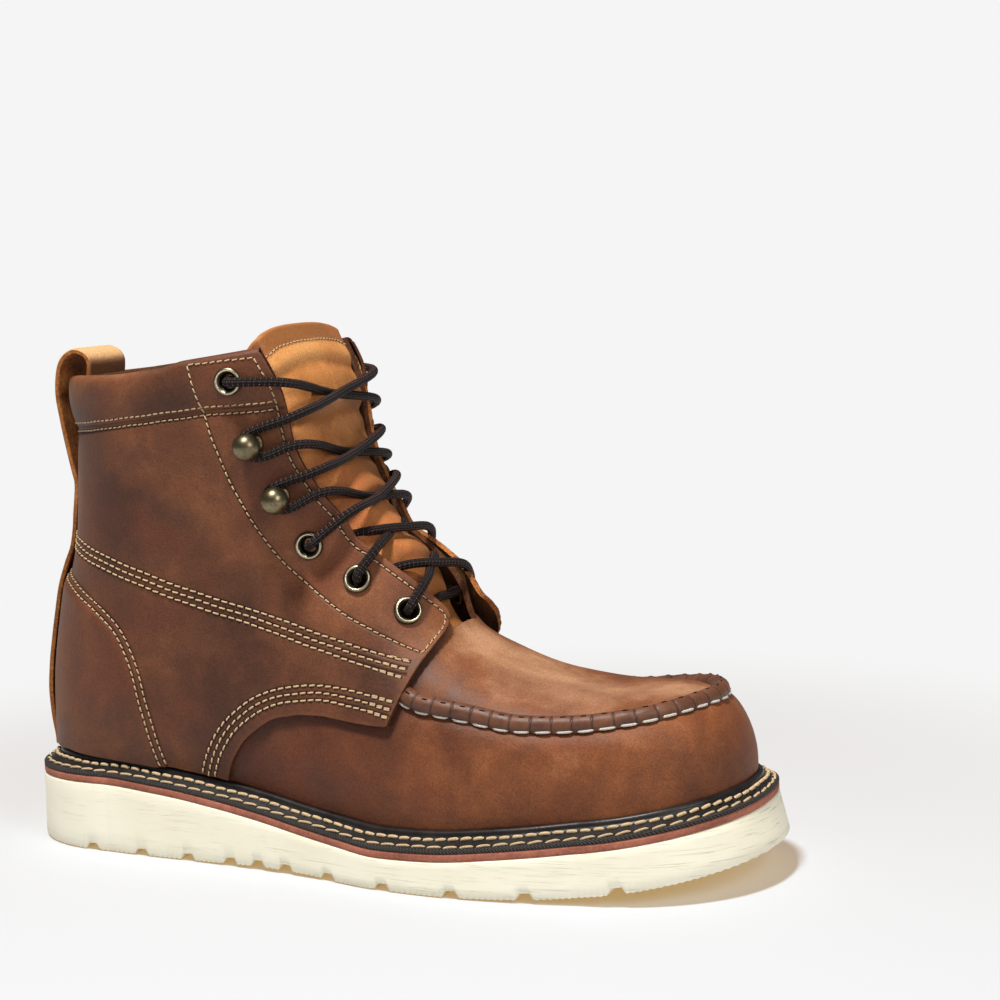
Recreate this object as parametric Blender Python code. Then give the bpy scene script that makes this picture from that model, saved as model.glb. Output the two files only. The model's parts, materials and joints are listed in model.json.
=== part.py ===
"""Moc toe work boot, the right boot of a pair, as separate closed solids.

The upper is grown from one last: fan sections that run from the toe along the foot and up the shaft.
A place on it is given by u, the station (0 at the toe tip, 9 at the heel's lower corner, 14 at the collar),
and by t, the way round the section from the ridge (0) to the feather line or the back seam (1).
Lengths are in millimetres from the back of the heel and become metres in the last step.
+X points to the toe, +Y to the inner (medial) side of the foot and +Z up from the floor.
"""
import math

import bpy
import numpy as np

for leftover in list(bpy.data.objects):
    bpy.data.objects.remove(leftover, do_unlink=True)

# Driving sizes
MM = 0.001
GAP = 0.3
BASE_WALL = 2.2
SINK = 0.9
PANEL_OUT = 1.9
PANEL_SINK = 0.9
COUNTER_OUT = 3.9
COLLAR_OUT = 2.9
PANEL_CLEAR = 1.1
MIDSOLE = 3.2
WELT = 2.6
WELT_BEAD = 3.6
REACH_SIDE = 10.0
REACH_END = 8.0
FLARE_TOE = 4.0
FLARE_HEEL = 0.8
NOTCH_DEPTH = 2.6
NOTCH_FLOOR = 4.0
NOTCH_MOUTH = 7.0
INSOLE = 2.4
TONGUE = 3.0
EYELET_BORE = 2.6
EYELET_BARREL = 3.1
EYELET_FLANGE = 5.2
HOOK_BALL = 5.1
LACE_RADIUS = 1.7
LATERAL = -1
MEDIAL = 1

# Sole seen from the side: x, height of its top, height of the tread
SOLE_PROFILE = (
    (0, 25.0, 0.0),
    (20, 26.0, 0.0),
    (45, 26.3, 0.0),
    (70, 24.6, 0.0),
    (92, 22.0, 0.3),
    (115, 18.6, 1.0),
    (137, 14.9, 0.8),
    (150, 13.2, 0.0),
    (167, 11.8, 0.0),
    (187, 12.4, 0.0),
    (212, 14.8, 0.5),
    (232, 17.2, 1.8),
    (251, 19.8, 3.9),
    (268, 22.6, 6.6),
    (284, 25.4, 9.6),
    (304, 29.0, 13.5),
)
NOTCH_X = (38, 61, 82, 101, 113.5, 126, 145, 169, 196, 223, 255)

# Feather line, where the upper meets the sole: x, lateral and medial half width about the centre line
FEATHER_PROFILE = (
    (46, 27.5, 27.0),
    (61, 29.0, 28.0),
    (82, 30.2, 27.5),
    (110, 32.8, 26.0),
    (145, 38.2, 28.0),
    (169, 43.6, 32.5),
    (196, 45.6, 37.5),
    (223, 44.6, 39.5),
    (240, 43.0, 38.5),
)
FEATHER_HEEL = 9.5
FEATHER_TOE = 288.0
HEEL_ROUND = 2.3
TOE_ROUND = 2.25
# Centre line of the foot seen from above: x, y
CENTRE_LINE = ((0, 0.0), (150, 0.0), (200, 0.6), (245, 2.6), (289, 5.0), (320, 6.0))

# Fan sections: lower end x and z (z None is the feather line), upper end x and z, lateral and medial half width,
# share of the height where the section is widest, roundness above and below it, bow, and whether the half widths
# are the section's own (1) or follow the feather line (0)
FAN = (
    ("tip", 288.0, None, 277.5, 64.5, 0.0, 0.0, 0.40, 4.2, 2.2, 5.0, 0),
    ("toe", 272.0, None, 264.0, 65.5, 30.0, 30.0, 0.40, 3.8, 2.2, 3.0, 0),
    ("plug", 246.0, None, 243.0, 66.0, 43.0, 40.0, 0.40, 3.2, 2.2, 0.5, 0),
    ("ball", 215.0, None, 218.0, 69.5, 48.0, 43.0, 0.38, 2.7, 2.2, 0.0, 1),
    ("vamp", 186.0, None, 197.0, 78.0, 48.5, 42.0, 0.38, 2.4, 2.2, 0.0, 1),
    ("throat", 150.0, None, 182.0, 88.0, 45.0, 40.0, 0.38, 2.3, 2.2, 0.0, 1),
    ("instep", 105.0, None, 177.5, 102.0, 40.0, 38.5, 0.38, 2.3, 2.2, 0.0, 1),
    ("waist", 60.0, None, 172.0, 117.0, 38.0, 37.0, 0.38, 2.3, 2.2, 0.0, 1),
    ("heel", 25.0, None, 168.5, 126.0, 36.5, 36.0, 0.39, 2.3, 2.1, 0.0, 1),
    ("corner", 9.5, None, 167.0, 131.0, 36.0, 35.5, 0.40, 2.3, 2.1, 0.0, 1),
    ("counter", 9.0, 54.0, 164.5, 138.0, 36.0, 35.5, 0.42, 2.3, 2.0, 0.0, 1),
    ("ankle", 15.0, 89.0, 160.5, 150.0, 37.5, 37.0, 0.43, 2.35, 2.0, 0.0, 1),
    ("shaft", 23.0, 120.0, 156.5, 164.0, 39.5, 39.0, 0.43, 2.4, 2.0, 0.0, 1),
    ("cuff", 26.0, 158.0, 152.5, 182.0, 41.0, 40.5, 0.43, 2.45, 2.0, -1.0, 1),
    ("collar", 25.5, 180.0, 150.0, 196.0, 41.5, 41.0, 0.43, 2.45, 2.0, -1.5, 1),
)
FAN_COLUMNS = ("low_x", "low_z", "top_x", "top_z", "lateral", "medial", "widest", "over", "under", "bow", "own")
CORNER = 9
COLLAR = 14
THROAT = 5.0
TOE_SWELL = 1.03

# Pattern lines on the last
# Half width of the laced opening: u, distance from the centre line
OPENING = ((5, 11.0), (5.5, 12.5), (6, 16.0), (7, 20.8), (8, 22.0), (9, 23.0), (10, 24.4), (11, 28.5), (12, 32.3),
           (13, 34.3), (14, 36.4))
# Front and lower edge of the quarter: t, u
QUARTER_EDGE = ((0, 5.34), (0.16, 5.12), (0.3, 4.97), (0.57, 4.92), (0.59, 5.36), (0.61, 5.88), (0.635, 6.16),
                (0.68, 6.36), (0.76, 6.42), (0.83, 6.38), (0.92, 6.28), (1, 6.15))
# Lower seam of the collar band: t, u
COLLAR_SEAM = ((0, 12.62), (0.3, 12.74), (0.44, 12.9), (0.88, 13.08), (1, 13.1))
# Front edge of the heel counter in the side view: z, x
COUNTER_EDGE = ((34, 73.5), (48, 70.4), (60, 67.2), (75, 63.2), (88, 56.0), (98, 42.0), (105, 24.0), (106, 12.0))
COUNTER_ROWS = (6.9, 11.5)
# Raised seam round the toe: u, t
MOC_LINE = ((0, 0.0), (0.2, 0.10), (0.8, 0.36), (1.46, 0.455), (2.2, 0.488), (2.9, 0.497), (3.7, 0.478),
            (4.6, 0.468), (5, 0.446))
# Lace fittings from the bottom up: name, u, t
FITTINGS = (
    ("eyelet", 6.06, 0.215),
    ("eyelet", 7.32, 0.224),
    ("eyelet", 9.82, 0.238),
    ("hook", 11.16, 0.290),
    ("hook", 12.26, 0.339),
    ("eyelet", 13.38, 0.374),
)
# Path of the pull loop behind the shaft: x, z of the strip's outer face
LOOP_PATH = ((18.6, 139), (16.6, 150), (14.6, 163), (13.8, 174), (14.8, 182.5), (18.2, 188.6), (23.6, 191.0),
             (28.6, 189.0), (31.0, 185.6), (30.8, 182.6))
LOOP_HALF = 12.5
LOOP_THICK = 2.0
LOOP_WRAP = 3.2
LOOP_FLAT = 172.0


def smooth(table_x, table_y, x, flat_start=False):
    """Monotone cubic through a table, without overshoot."""
    xs = np.asarray(table_x, float)
    ys = np.asarray(table_y, float)
    x = np.asarray(x, float)
    step = np.diff(xs)
    rise = np.diff(ys) / step
    slope = np.zeros_like(ys)
    before = 2 * step[1:] + step[:-1]
    after = step[1:] + 2 * step[:-1]
    same_way = rise[:-1] * rise[1:] > 0
    safe_low = np.where(same_way, rise[:-1], 1.0)
    safe_high = np.where(same_way, rise[1:], 1.0)
    slope[1:-1] = np.where(same_way, (before + after) / (before / safe_low + after / safe_high), 0.0)
    slope[0] = 0.0 if flat_start else rise[0]
    slope[-1] = rise[-1]
    i = np.clip(np.searchsorted(xs, x) - 1, 0, len(xs) - 2)
    f = (x - xs[i]) / step[i]
    low = ys[i] * (1 + 2 * f) * (1 - f) ** 2 + step[i] * slope[i] * f * (1 - f) ** 2
    high = ys[i + 1] * f * f * (3 - 2 * f) + step[i] * slope[i + 1] * f * f * (f - 1)
    return low + high


def along(table, x):
    """Second column of a two-column table, smooth between its rows and constant outside them."""
    xs = [row[0] for row in table]
    ys = [row[1] for row in table]
    return smooth(xs, ys, np.clip(x, xs[0], xs[-1]))


def sole_column(k, x):
    xs = [row[0] for row in SOLE_PROFILE]
    ys = [row[k] for row in SOLE_PROFILE]
    return smooth(xs, ys, np.clip(x, xs[0], xs[-1]))


def sole_top(x):
    return sole_column(1, x)


def sole_tread(x):
    return sole_column(2, x)


def feather_z(x):
    return sole_top(x) + MIDSOLE + GAP


def centre(x):
    return along(CENTRE_LINE, x)


def feather_half(x, side):
    """Half width of the feather line at x, rounded off at the heel and at the toe."""
    xs = [row[0] for row in FEATHER_PROFILE]
    ys = [row[1 if side == LATERAL else 2] for row in FEATHER_PROFILE]
    body = smooth(xs, ys, np.clip(x, xs[0], xs[-1]))
    heel = np.clip((xs[0] - x) / (xs[0] - FEATHER_HEEL), 0, 1)
    toe = np.clip((x - xs[-1]) / (FEATHER_TOE - xs[-1]), 0, 1)
    return body * (1 - heel ** HEEL_ROUND) ** (1 / HEEL_ROUND) * (1 - toe ** TOE_ROUND) ** (1 / TOE_ROUND)


def fan_table():
    """The fan columns, read off smoothly at many stations."""
    stations = np.arange(len(FAN), dtype=float)
    fine = np.linspace(0, len(FAN) - 1, 1401)
    columns = {}
    for k, name in enumerate(FAN_COLUMNS):
        values = [row[k + 1] for row in FAN]
        if name == "low_z":
            values = [feather_z(row[1]) if row[2] is None else row[2] for row in FAN]
        columns[name] = smooth(stations, values, fine, flat_start=True)
    on_foot = fine <= CORNER
    columns["low_z"][on_foot] = feather_z(columns["low_x"][on_foot])
    return fine, columns


FINE_U, FINE = fan_table()
SECTION_STEPS = 121
GRID_U = np.linspace(0, COLLAR, 281)
GRID_T = np.linspace(0, 1, 81)
FAIR_ROUNDS = 160
FAIR_WIDTH = 1.3


def section(u, side):
    """One half of the section at u, from the ridge down, as points at equal steps of t."""
    at = {name: float(np.interp(u, FINE_U, FINE[name])) for name in FAN_COLUMNS}
    foot = float(feather_half(at["low_x"], side)) if u < CORNER else 0.0
    own_half = at["lateral"] if side == LATERAL else at["medial"]
    widest = max((1 - at["own"]) * foot * TOE_SWELL + at["own"] * max(own_half, foot), foot)
    if widest < 1e-6:
        q = np.linspace(1, 0, SECTION_STEPS)
        half = np.zeros(SECTION_STEPS)
    else:
        end = np.arccos(np.clip(foot / widest, 0, 1) ** (at["under"] / 2))
        angle = np.linspace(np.pi / 2, -end, SECTION_STEPS)
        power = np.where(angle >= 0, 2 / at["over"], 2 / at["under"])
        half = widest * np.abs(np.cos(angle)) ** power
        lift = np.sign(np.sin(angle)) * np.abs(np.sin(angle)) ** power
        depth = max(np.sin(end) ** (2 / at["under"]), 1e-9)
        q = np.where(angle >= 0, at["widest"] + (1 - at["widest"]) * lift, at["widest"] * (1 + lift / depth))
    run = at["top_x"] - at["low_x"]
    rise = at["top_z"] - at["low_z"]
    length = math.hypot(run, rise)
    forward = 1 if u <= CORNER else -1
    bow = at["bow"] * 4 * q * (1 - q) * forward
    x = at["low_x"] + run * q + bow * rise / length
    z = at["low_z"] + rise * q - bow * run / length
    points = np.stack([x, centre(x) + side * half, z], 1)
    walked = np.concatenate([[0], np.cumsum(np.linalg.norm(np.diff(points, axis=0), axis=1))])
    return np.stack([np.interp(GRID_T * walked[-1], walked, points[:, k]) for k in range(3)], 1)


def faired(points):
    """Softens the crease that the turn from foot to shaft leaves along the sections near the heel's corner."""
    strength = 0.25 * np.exp(-((GRID_U[1:-1] - CORNER) / FAIR_WIDTH) ** 2)[:, None] * (1 - GRID_T ** 5)[None, :]
    for _ in range(FAIR_ROUNDS):
        bend = points[:-2] - 2 * points[1:-1] + points[2:]
        points[1:-1] += strength[:, :, None] * bend
    return points


def grid_normals(points, side):
    along_u = np.gradient(points, axis=0)
    along_t = np.gradient(points, axis=1)
    normal = np.cross(along_u, along_t) * -side
    return normal / np.maximum(np.linalg.norm(normal, axis=2), 1e-9)[:, :, None]


LAST = {side: faired(np.array([section(u, side) for u in GRID_U])) for side in (LATERAL, MEDIAL)}
LAST_OUT = {side: grid_normals(LAST[side], side) for side in (LATERAL, MEDIAL)}


def read_grid(grid, u, t):
    """Values of a grid over the last at (u, t), straight between its nodes."""
    a = np.clip(np.asarray(u, float) / COLLAR, 0, 1) * (len(GRID_U) - 1)
    b = np.clip(np.asarray(t, float), 0, 1) * (len(GRID_T) - 1)
    i = np.clip(a.astype(int), 0, len(GRID_U) - 2)
    j = np.clip(b.astype(int), 0, len(GRID_T) - 2)
    f = (a - i)[..., None]
    g = (b - j)[..., None]
    low = grid[i, j] * (1 - g) + grid[i, j + 1] * g
    high = grid[i + 1, j] * (1 - g) + grid[i + 1, j + 1] * g
    return low * (1 - f) + high * f


def on_last(u, side, t):
    """Point of the last at (u, t)."""
    return read_grid(LAST[side], u, t)


def out_of_last(u, side, t):
    """Unit normal of the last at (u, t), pointing away from the foot."""
    normal = read_grid(LAST_OUT[side], u, t)
    return normal / np.linalg.norm(normal, axis=-1, keepdims=True)


def line_at(u, side):
    """The faired section at u."""
    return on_last(np.full(len(GRID_T), float(u)), side, GRID_T)


def line_length(u, side):
    return float(np.linalg.norm(np.diff(line_at(u, side), axis=0), axis=1).sum())


def welt_top(x):
    """Height of the welt bead's crest."""
    return sole_top(x) + MIDSOLE + WELT + WELT_BEAD


def end_t(u, side):
    """t where a panel over the wall stops: just above the welt, or at the back seam."""
    line = line_at(u, side)
    return first_crossing(line[:, 2] - welt_top(line[:, 0]) - PANEL_CLEAR)


def first_crossing(values):
    """t where values over GRID_T first turn negative, or 1."""
    below = np.nonzero(values < 0)[0]
    if len(below) == 0:
        return 1.0
    k = below[0]
    part = values[k - 1] / (values[k - 1] - values[k]) if k else 0.0
    return float(GRID_T[k - 1] + part * (GRID_T[k] - GRID_T[k - 1])) if k else 0.0


def opening_t(u, side):
    """t at the edge of the laced opening."""
    line = line_at(u, side)
    half = np.abs(line[:, 1] - centre(line[:, 0]))
    over = int(np.argmax(half))
    return float(np.interp(along(OPENING, u), half[:over + 1], GRID_T[:over + 1]))


class Sheet:
    """Open surface of quads whose points are shared where they coincide."""

    def __init__(self):
        self.points = []
        self.extra = []
        self.index = {}
        self.faces = []

    def add(self, point, extra=0.0):
        key = tuple(np.round(point, 3))
        if key not in self.index:
            self.index[key] = len(self.points)
            self.points.append(np.asarray(point, float))
            self.extra.append(extra)
        return self.index[key]

    def grid(self, rows):
        """Quads between neighbouring rows of point numbers; None leaves a hole."""
        for low, high in zip(rows[:-1], rows[1:]):
            for j in range(len(low) - 1):
                corners = (low[j], low[j + 1], high[j + 1], high[j])
                if None in corners:
                    continue
                face = [c for k, c in enumerate(corners) if c != corners[k - 1]]
                self.faces += self.split(face)

    def split(self, face):
        """A quad as two triangles across its shorter diagonal."""
        if len(face) < 4:
            return [face] if len(face) == 3 else []
        a, b, c, d = (self.points[v] for v in face)
        if np.linalg.norm(a - c) <= np.linalg.norm(b - d):
            return [[face[0], face[1], face[2]], [face[0], face[2], face[3]]]
        return [[face[0], face[1], face[3]], [face[1], face[2], face[3]]]

    def normals(self):
        points = np.array(self.points)
        total = np.zeros_like(points)
        for face in self.faces:
            a, b, c = points[face]
            total[face] += np.cross(b - a, c - a)
        return total / np.linalg.norm(total, axis=1)[:, None]

    def thicken(self, low, high):
        """Closed solid between the sheet moved out by low and by high (numbers, or one per point)."""
        points = np.array(self.points)
        normal = self.normals()
        count = len(points)
        inner = points + normal * np.broadcast_to(low, count)[:, None]
        outer = points + normal * np.broadcast_to(high, count)[:, None]
        faces = [[v + count for v in face] for face in self.faces]
        faces += [list(reversed(face)) for face in self.faces]
        seen = {}
        for face in self.faces:
            for a, b in zip(face, face[1:] + face[:1]):
                seen[(a, b)] = True
        for a, b in seen:
            if (b, a) not in seen:
                faces.append([a, b, b + count, a + count])
        return np.concatenate([inner, outer]), faces


def volume(points, faces):
    total = 0.0
    for face in faces:
        for k in range(1, len(face) - 1):
            total += np.dot(points[face[0]], np.cross(points[face[k]], points[face[k + 1]]))
    return total / 6


def outline(reach_side, reach_end, count=361):
    """Closed plan curve outside the feather line: lateral points heel to toe, then medial points."""
    turn = np.linspace(0, np.pi, count)
    x = (FEATHER_HEEL + FEATHER_TOE) / 2 - (FEATHER_TOE - FEATHER_HEEL) / 2 * np.cos(turn)
    lateral = np.stack([x, centre(x) - feather_half(x, LATERAL)], 1)
    medial = np.stack([x, centre(x) + feather_half(x, MEDIAL)], 1)
    loop = np.concatenate([lateral, medial[-2:0:-1]])
    ahead = np.roll(loop, -1, axis=0) - np.roll(loop, 1, axis=0)
    away = np.stack([ahead[:, 1], -ahead[:, 0]], 1)
    away /= np.linalg.norm(away, axis=1)[:, None]
    reach = reach_end + (reach_side - reach_end) * away[:, 1] ** 2
    return loop + away * reach[:, None], away, count


class Plan:
    """Half outlines of a sole layer, as y over x."""

    def __init__(self, reach_side, reach_end, toe_extra=0.0, heel_extra=0.0):
        loop, away, count = outline(reach_side, reach_end)
        ahead = np.clip(away[:, 0], 0, 1) ** 2 * toe_extra + np.clip(-away[:, 0], 0, 1) ** 2 * heel_extra
        loop = loop + away * ahead[:, None]
        self.first = float(loop[:, 0].min())
        self.last = float(loop[:, 0].max())
        low = int(np.argmin(loop[:, 0]))
        loop = np.roll(loop, -low, axis=0)
        high = int(np.argmax(loop[:, 0]))
        self.lateral = loop[:high + 1]
        self.medial = np.concatenate([loop[high:], loop[:1]])[::-1]

    def y(self, x, side):
        half = self.lateral if side == LATERAL else self.medial
        return float(np.interp(x, half[:, 0], half[:, 1]))


def stations(first, last, count, extra=()):
    """Places along x, closer together at both ends, with extra places added."""
    turn = np.linspace(0, np.pi, count)
    x = (first + last) / 2 - (last - first) / 2 * np.cos(turn)
    if len(extra):
        keep = [v for v in x if min(abs(v - e) for e in extra) > 2.0]
        x = np.array(sorted(list(keep) + list(extra)))
    return x


def layered(levels, places):
    """Solid of cross strips. Each level is a plan and a height function; levels go up from the tread."""
    points = []
    faces = []
    count = len(levels)
    first = levels[0][0].first
    last = levels[0][0].last
    shares = [(x - first) / (last - first) for x in places]
    ring = 2 * count
    for share in shares:
        row = []
        for plan, height in levels:
            x = plan.first + share * (plan.last - plan.first)
            row.append((x, plan.y(x, LATERAL), float(height(x))))
        for plan, height in reversed(levels):
            x = plan.first + share * (plan.last - plan.first)
            row.append((x, plan.y(x, MEDIAL), float(height(x))))
        points.extend(row)
    for i in range(len(shares) - 1):
        for k in range(ring):
            a = i * ring + k
            b = i * ring + (k + 1) % ring
            faces.append([a, b, b + ring, a + ring])
    return weld(np.array(points), faces)


def weld(points, faces):
    """Points that coincide become one, and faces lose repeated corners."""
    index = {}
    where = []
    kept = []
    for point in points:
        key = tuple(np.round(point, 3))
        if key not in index:
            index[key] = len(kept)
            kept.append(point)
        where.append(index[key])
    clean = []
    for face in faces:
        corners = [where[v] for v in face]
        corners = [c for k, c in enumerate(corners) if c != corners[k - 1]]
        if len(set(corners)) > 2:
            clean.append(corners)
    return np.array(kept), clean


MATERIALS = {
    "leather": ((0.20, 0.085, 0.035, 1.0), 0.0, 0.62),
    "tongue_leather": ((0.36, 0.15, 0.045, 1.0), 0.0, 0.7),
    "outsole_rubber": ((0.86, 0.80, 0.66, 1.0), 0.0, 0.7),
    "midsole_rubber": ((0.33, 0.13, 0.085, 1.0), 0.0, 0.7),
    "welt_rubber": ((0.02, 0.018, 0.017, 1.0), 0.0, 0.55),
    "insole_fabric": ((0.42, 0.29, 0.17, 1.0), 0.0, 0.9),
    "brass": ((0.36, 0.29, 0.18, 1.0), 1.0, 0.35),
    "lace_fabric": ((0.018, 0.014, 0.013, 1.0), 0.0, 0.85),
}


def material(name):
    found = bpy.data.materials.get(name)
    if found:
        return found
    colour, metal, rough = MATERIALS[name]
    made = bpy.data.materials.new(name)
    made.use_nodes = True
    shader = made.node_tree.nodes["Principled BSDF"]
    shader.inputs["Base Color"].default_value = colour
    shader.inputs["Metallic"].default_value = metal
    shader.inputs["Roughness"].default_value = rough
    return made


SOLE_PLAN = Plan(REACH_SIDE, REACH_END)
TREAD_PLAN = Plan(REACH_SIDE, REACH_END, FLARE_TOE, FLARE_HEEL)
BOX_X = (min(SOLE_PLAN.first, TREAD_PLAN.first), max(SOLE_PLAN.last, TREAD_PLAN.last))
BOX_Y = (float(TREAD_PLAN.lateral[:, 1].min()), float(TREAD_PLAN.medial[:, 1].max()))
ORIGIN = np.array([sum(BOX_X) / 2, sum(BOX_Y) / 2, 0.0])


def solid(name, points, faces, material_name):
    """Named object from millimetre points, moved so that the middle of the sole is the origin."""
    points, faces = weld(np.asarray(points, float), faces)
    if volume(points, faces) < 0:
        faces = [list(reversed(face)) for face in faces]
    placed = (points - ORIGIN) * MM
    mesh = bpy.data.meshes.new(name)
    mesh.from_pydata([tuple(p) for p in placed], [], faces)
    mesh.validate()
    mesh.update()
    thing = bpy.data.objects.new(name, mesh)
    bpy.context.scene.collection.objects.link(thing)
    thing.data.materials.append(material(material_name))
    return thing


def cutter(name, points, faces):
    thing = solid(name, points, faces, "leather")
    thing.hide_render = True
    thing.display_type = "WIRE"
    return thing


def boolean(thing, other, operation):
    modifier = thing.modifiers.new(other.name, "BOOLEAN")
    modifier.object = other
    modifier.operation = operation
    modifier.solver = "EXACT"


# Sole
def tread_height(x):
    """Height of the tread with its cross notches."""
    low = float(sole_tread(x))
    for place in NOTCH_X:
        off = abs(x - place)
        slope = (NOTCH_MOUTH - NOTCH_FLOOR) / 2
        low += NOTCH_DEPTH * float(np.clip((NOTCH_MOUTH / 2 - off) / slope, 0, 1))
    return low


def outsole():
    extra = []
    for place in NOTCH_X:
        extra += [place - NOTCH_MOUTH / 2, place - NOTCH_FLOOR / 2, place + NOTCH_FLOOR / 2, place + NOTCH_MOUTH / 2]
    places = stations(TREAD_PLAN.first, TREAD_PLAN.last, 49, extra)
    points, faces = layered(((TREAD_PLAN, tread_height), (SOLE_PLAN, sole_top)), places)
    solid("outsole", points, faces, "outsole_rubber")


def midsole():
    places = stations(SOLE_PLAN.first, SOLE_PLAN.last, 45)
    low = lambda x: sole_top(x) + GAP
    high = lambda x: sole_top(x) + MIDSOLE
    points, faces = layered(((SOLE_PLAN, low), (SOLE_PLAN, high)), places)
    solid("midsole", points, faces, "midsole_rubber")


def insole():
    plan = Plan(-BASE_WALL - 1.0, -BASE_WALL - 3.2)
    places = stations(plan.first, plan.last, 33)
    low = lambda x: feather_z(x)
    high = lambda x: feather_z(x) + INSOLE
    points, faces = layered(((plan, low), (plan, high)), places)
    solid("insole", points, faces, "insole_fabric")


def wall_cloud():
    """Many points of the last near the sole, to keep the welt clear of it."""
    points = []
    for side in (LATERAL, MEDIAL):
        for u in np.linspace(0, CORNER + 1, 401):
            line = line_at(u, side)
            near = line[:, 2] < welt_top(line[:, 0]) + 4
            points.append(line[near])
            points.append((line[near][:-1] + line[near][1:]) / 2)
    return np.concatenate(points)


def wall_reach(cloud, place, out, height):
    """How far the wall of the upper stands out over a place of the feather line at a height above the midsole."""
    offset = cloud[:, :2] - place
    beside = np.abs(offset[:, 0] * out[1] - offset[:, 1] * out[0]) < 1.6
    level = np.abs(cloud[:, 2] - sole_top(cloud[:, 0]) - MIDSOLE - height) < 1.0
    found = (offset @ out)[beside & level]
    found = found[np.abs(found) < 12]
    return float(found.max()) if len(found) else 0.0


def welt():
    loop, away, _ = outline(0.0, 0.0, 31)
    reach = REACH_END + (REACH_SIDE - REACH_END) * away[:, 1] ** 2
    cloud = wall_cloud()
    top = WELT + WELT_BEAD
    points = []
    for place, out, full in zip(loop, away, reach):
        foot = max(wall_reach(cloud, place, out, GAP), 0.0) + 0.6
        crest = max(wall_reach(cloud, place, out, top), wall_reach(cloud, place, out, WELT), 0.0) + 1.0
        shape = (
            (foot, GAP),
            (full, GAP),
            (full, WELT),
            (min(crest + 3.3, full - 0.6), WELT),
            (min(crest + 2.7, full - 0.8), WELT + 0.72 * WELT_BEAD),
            (crest + 1.2, top),
            (crest, top - 0.3),
        )
        for distance, height in shape:
            spot = place + out * distance
            base = float(sole_top(spot[0])) + MIDSOLE
            points.append((spot[0], spot[1], base + height))
    ring = 7
    total = len(loop)
    faces = []
    for i in range(total):
        for k in range(ring):
            a = i * ring + k
            b = i * ring + (k + 1) % ring
            c = ((i + 1) % total) * ring + (k + 1) % ring
            d = ((i + 1) % total) * ring + k
            faces.append([a, b, c, d])
    solid("welt", np.array(points), faces, "welt_rubber")


# Upper
FOOT_ROWS = (0, 0.12, 0.3, 0.55, 0.85, 1.2, 1.6, 2.2, 2.9, 3.6, 4.2, 4.7, 5.0, 5.3, 5.7, 6.1, 6.6, 7.1, 7.6,
             8.0, 8.4, 8.7, 9.0)
SHAFT_ROWS = (9.5, 10.0, 10.6, 11.2, 11.8, 12.6, 13.4, 14.0)
OPEN_COLUMNS = 2
WALL_COLUMNS = 9
END_T = 0.985


def quarter_front(t):
    return float(along(QUARTER_EDGE, t))


def covered(u, t):
    """True well inside the area that the quarters and the collar band cover."""
    return u > quarter_front(t) + 0.15


def upper():
    sheet = Sheet()
    rows = []
    vamp_edge = (opening_t(THROAT, LATERAL) + opening_t(THROAT, MEDIAL)) / 2
    for u in FOOT_ROWS + SHAFT_ROWS:
        row = []
        for side in (LATERAL, MEDIAL):
            edge = opening_t(u, side) if u > THROAT else vamp_edge
            half = []
            for j in range(OPEN_COLUMNS + WALL_COLUMNS + 1):
                if j < OPEN_COLUMNS:
                    t = edge * j / OPEN_COLUMNS
                else:
                    t = edge + (1 - edge) * (j - OPEN_COLUMNS) / WALL_COLUMNS
                hidden = u > THROAT and j < OPEN_COLUMNS
                drop = -SINK if covered(u, t) else 0.0
                half.append(None if hidden else sheet.add(on_last(u, side, t), drop))
            row += half[::-1] if side == LATERAL else half[1:]
        rows.append(row)
    sheet.grid(rows)
    points, faces = sheet.thicken(-BASE_WALL, np.array(sheet.extra))
    points[:, 2] = np.maximum(points[:, 2], feather_z(points[:, 0]))
    return solid("upper", points, faces, "leather")


# Rows of a quarter from its front edge to the collar seam, closer together round the heel
QUARTER_STEPS = (0, 0.06, 0.13, 0.2, 0.27, 0.32, 0.36, 0.40, 0.43, 0.47, 0.53, 0.62, 0.74, 0.87, 1)


# Columns of a quarter from the laced edge down, closer together at the lower front corner
QUARTER_COLUMNS = (0, 0.12, 0.25, 0.37, 0.46, 0.515, 0.54, 0.57, 0.61, 0.67, 0.75, 0.83, 0.91, 1)


def quarter_end(u, side):
    """Lower or rear end of a quarter, which leaves a narrow gap at the back seam."""
    return min(end_t(u, side), END_T)


def quarter(side, name):
    sheet = Sheet()
    grid = []
    for share in QUARTER_COLUMNS:
        front = 5.0
        for _ in range(30):
            edge = opening_t(max(front, THROAT), side)
            t = edge + (quarter_end(front, side) - edge) * share
            front = 0.5 * front + 0.5 * quarter_front(t)
        line = []
        for step in QUARTER_STEPS:
            top = float(along(COLLAR_SEAM, t)) - 0.03
            u = front + (top - front) * step
            edge = opening_t(max(u, THROAT), side)
            spot = edge + (quarter_end(u, side) - edge) * share
            under = -PANEL_SINK if counter_hides(u, side, spot) else 0.0
            line.append(sheet.add(on_last(u, side, spot), under))
        grid.append(line)
    sheet.grid(grid if side == LATERAL else grid[::-1])
    points, faces = sheet.thicken(GAP, PANEL_OUT + np.array(sheet.extra))
    return solid(name, points, faces, "leather")


def counter_t(u, side):
    """t where the section at u passes under the front edge of the counter."""
    line = line_at(u, side)
    return first_crossing(line[:, 0] - along(COUNTER_EDGE, line[:, 2]))


def counter_hides(u, side, t):
    inside = COUNTER_ROWS[0] + 0.1 < u < COUNTER_ROWS[1]
    return inside and t > counter_t(u, side) - 0.015


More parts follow.
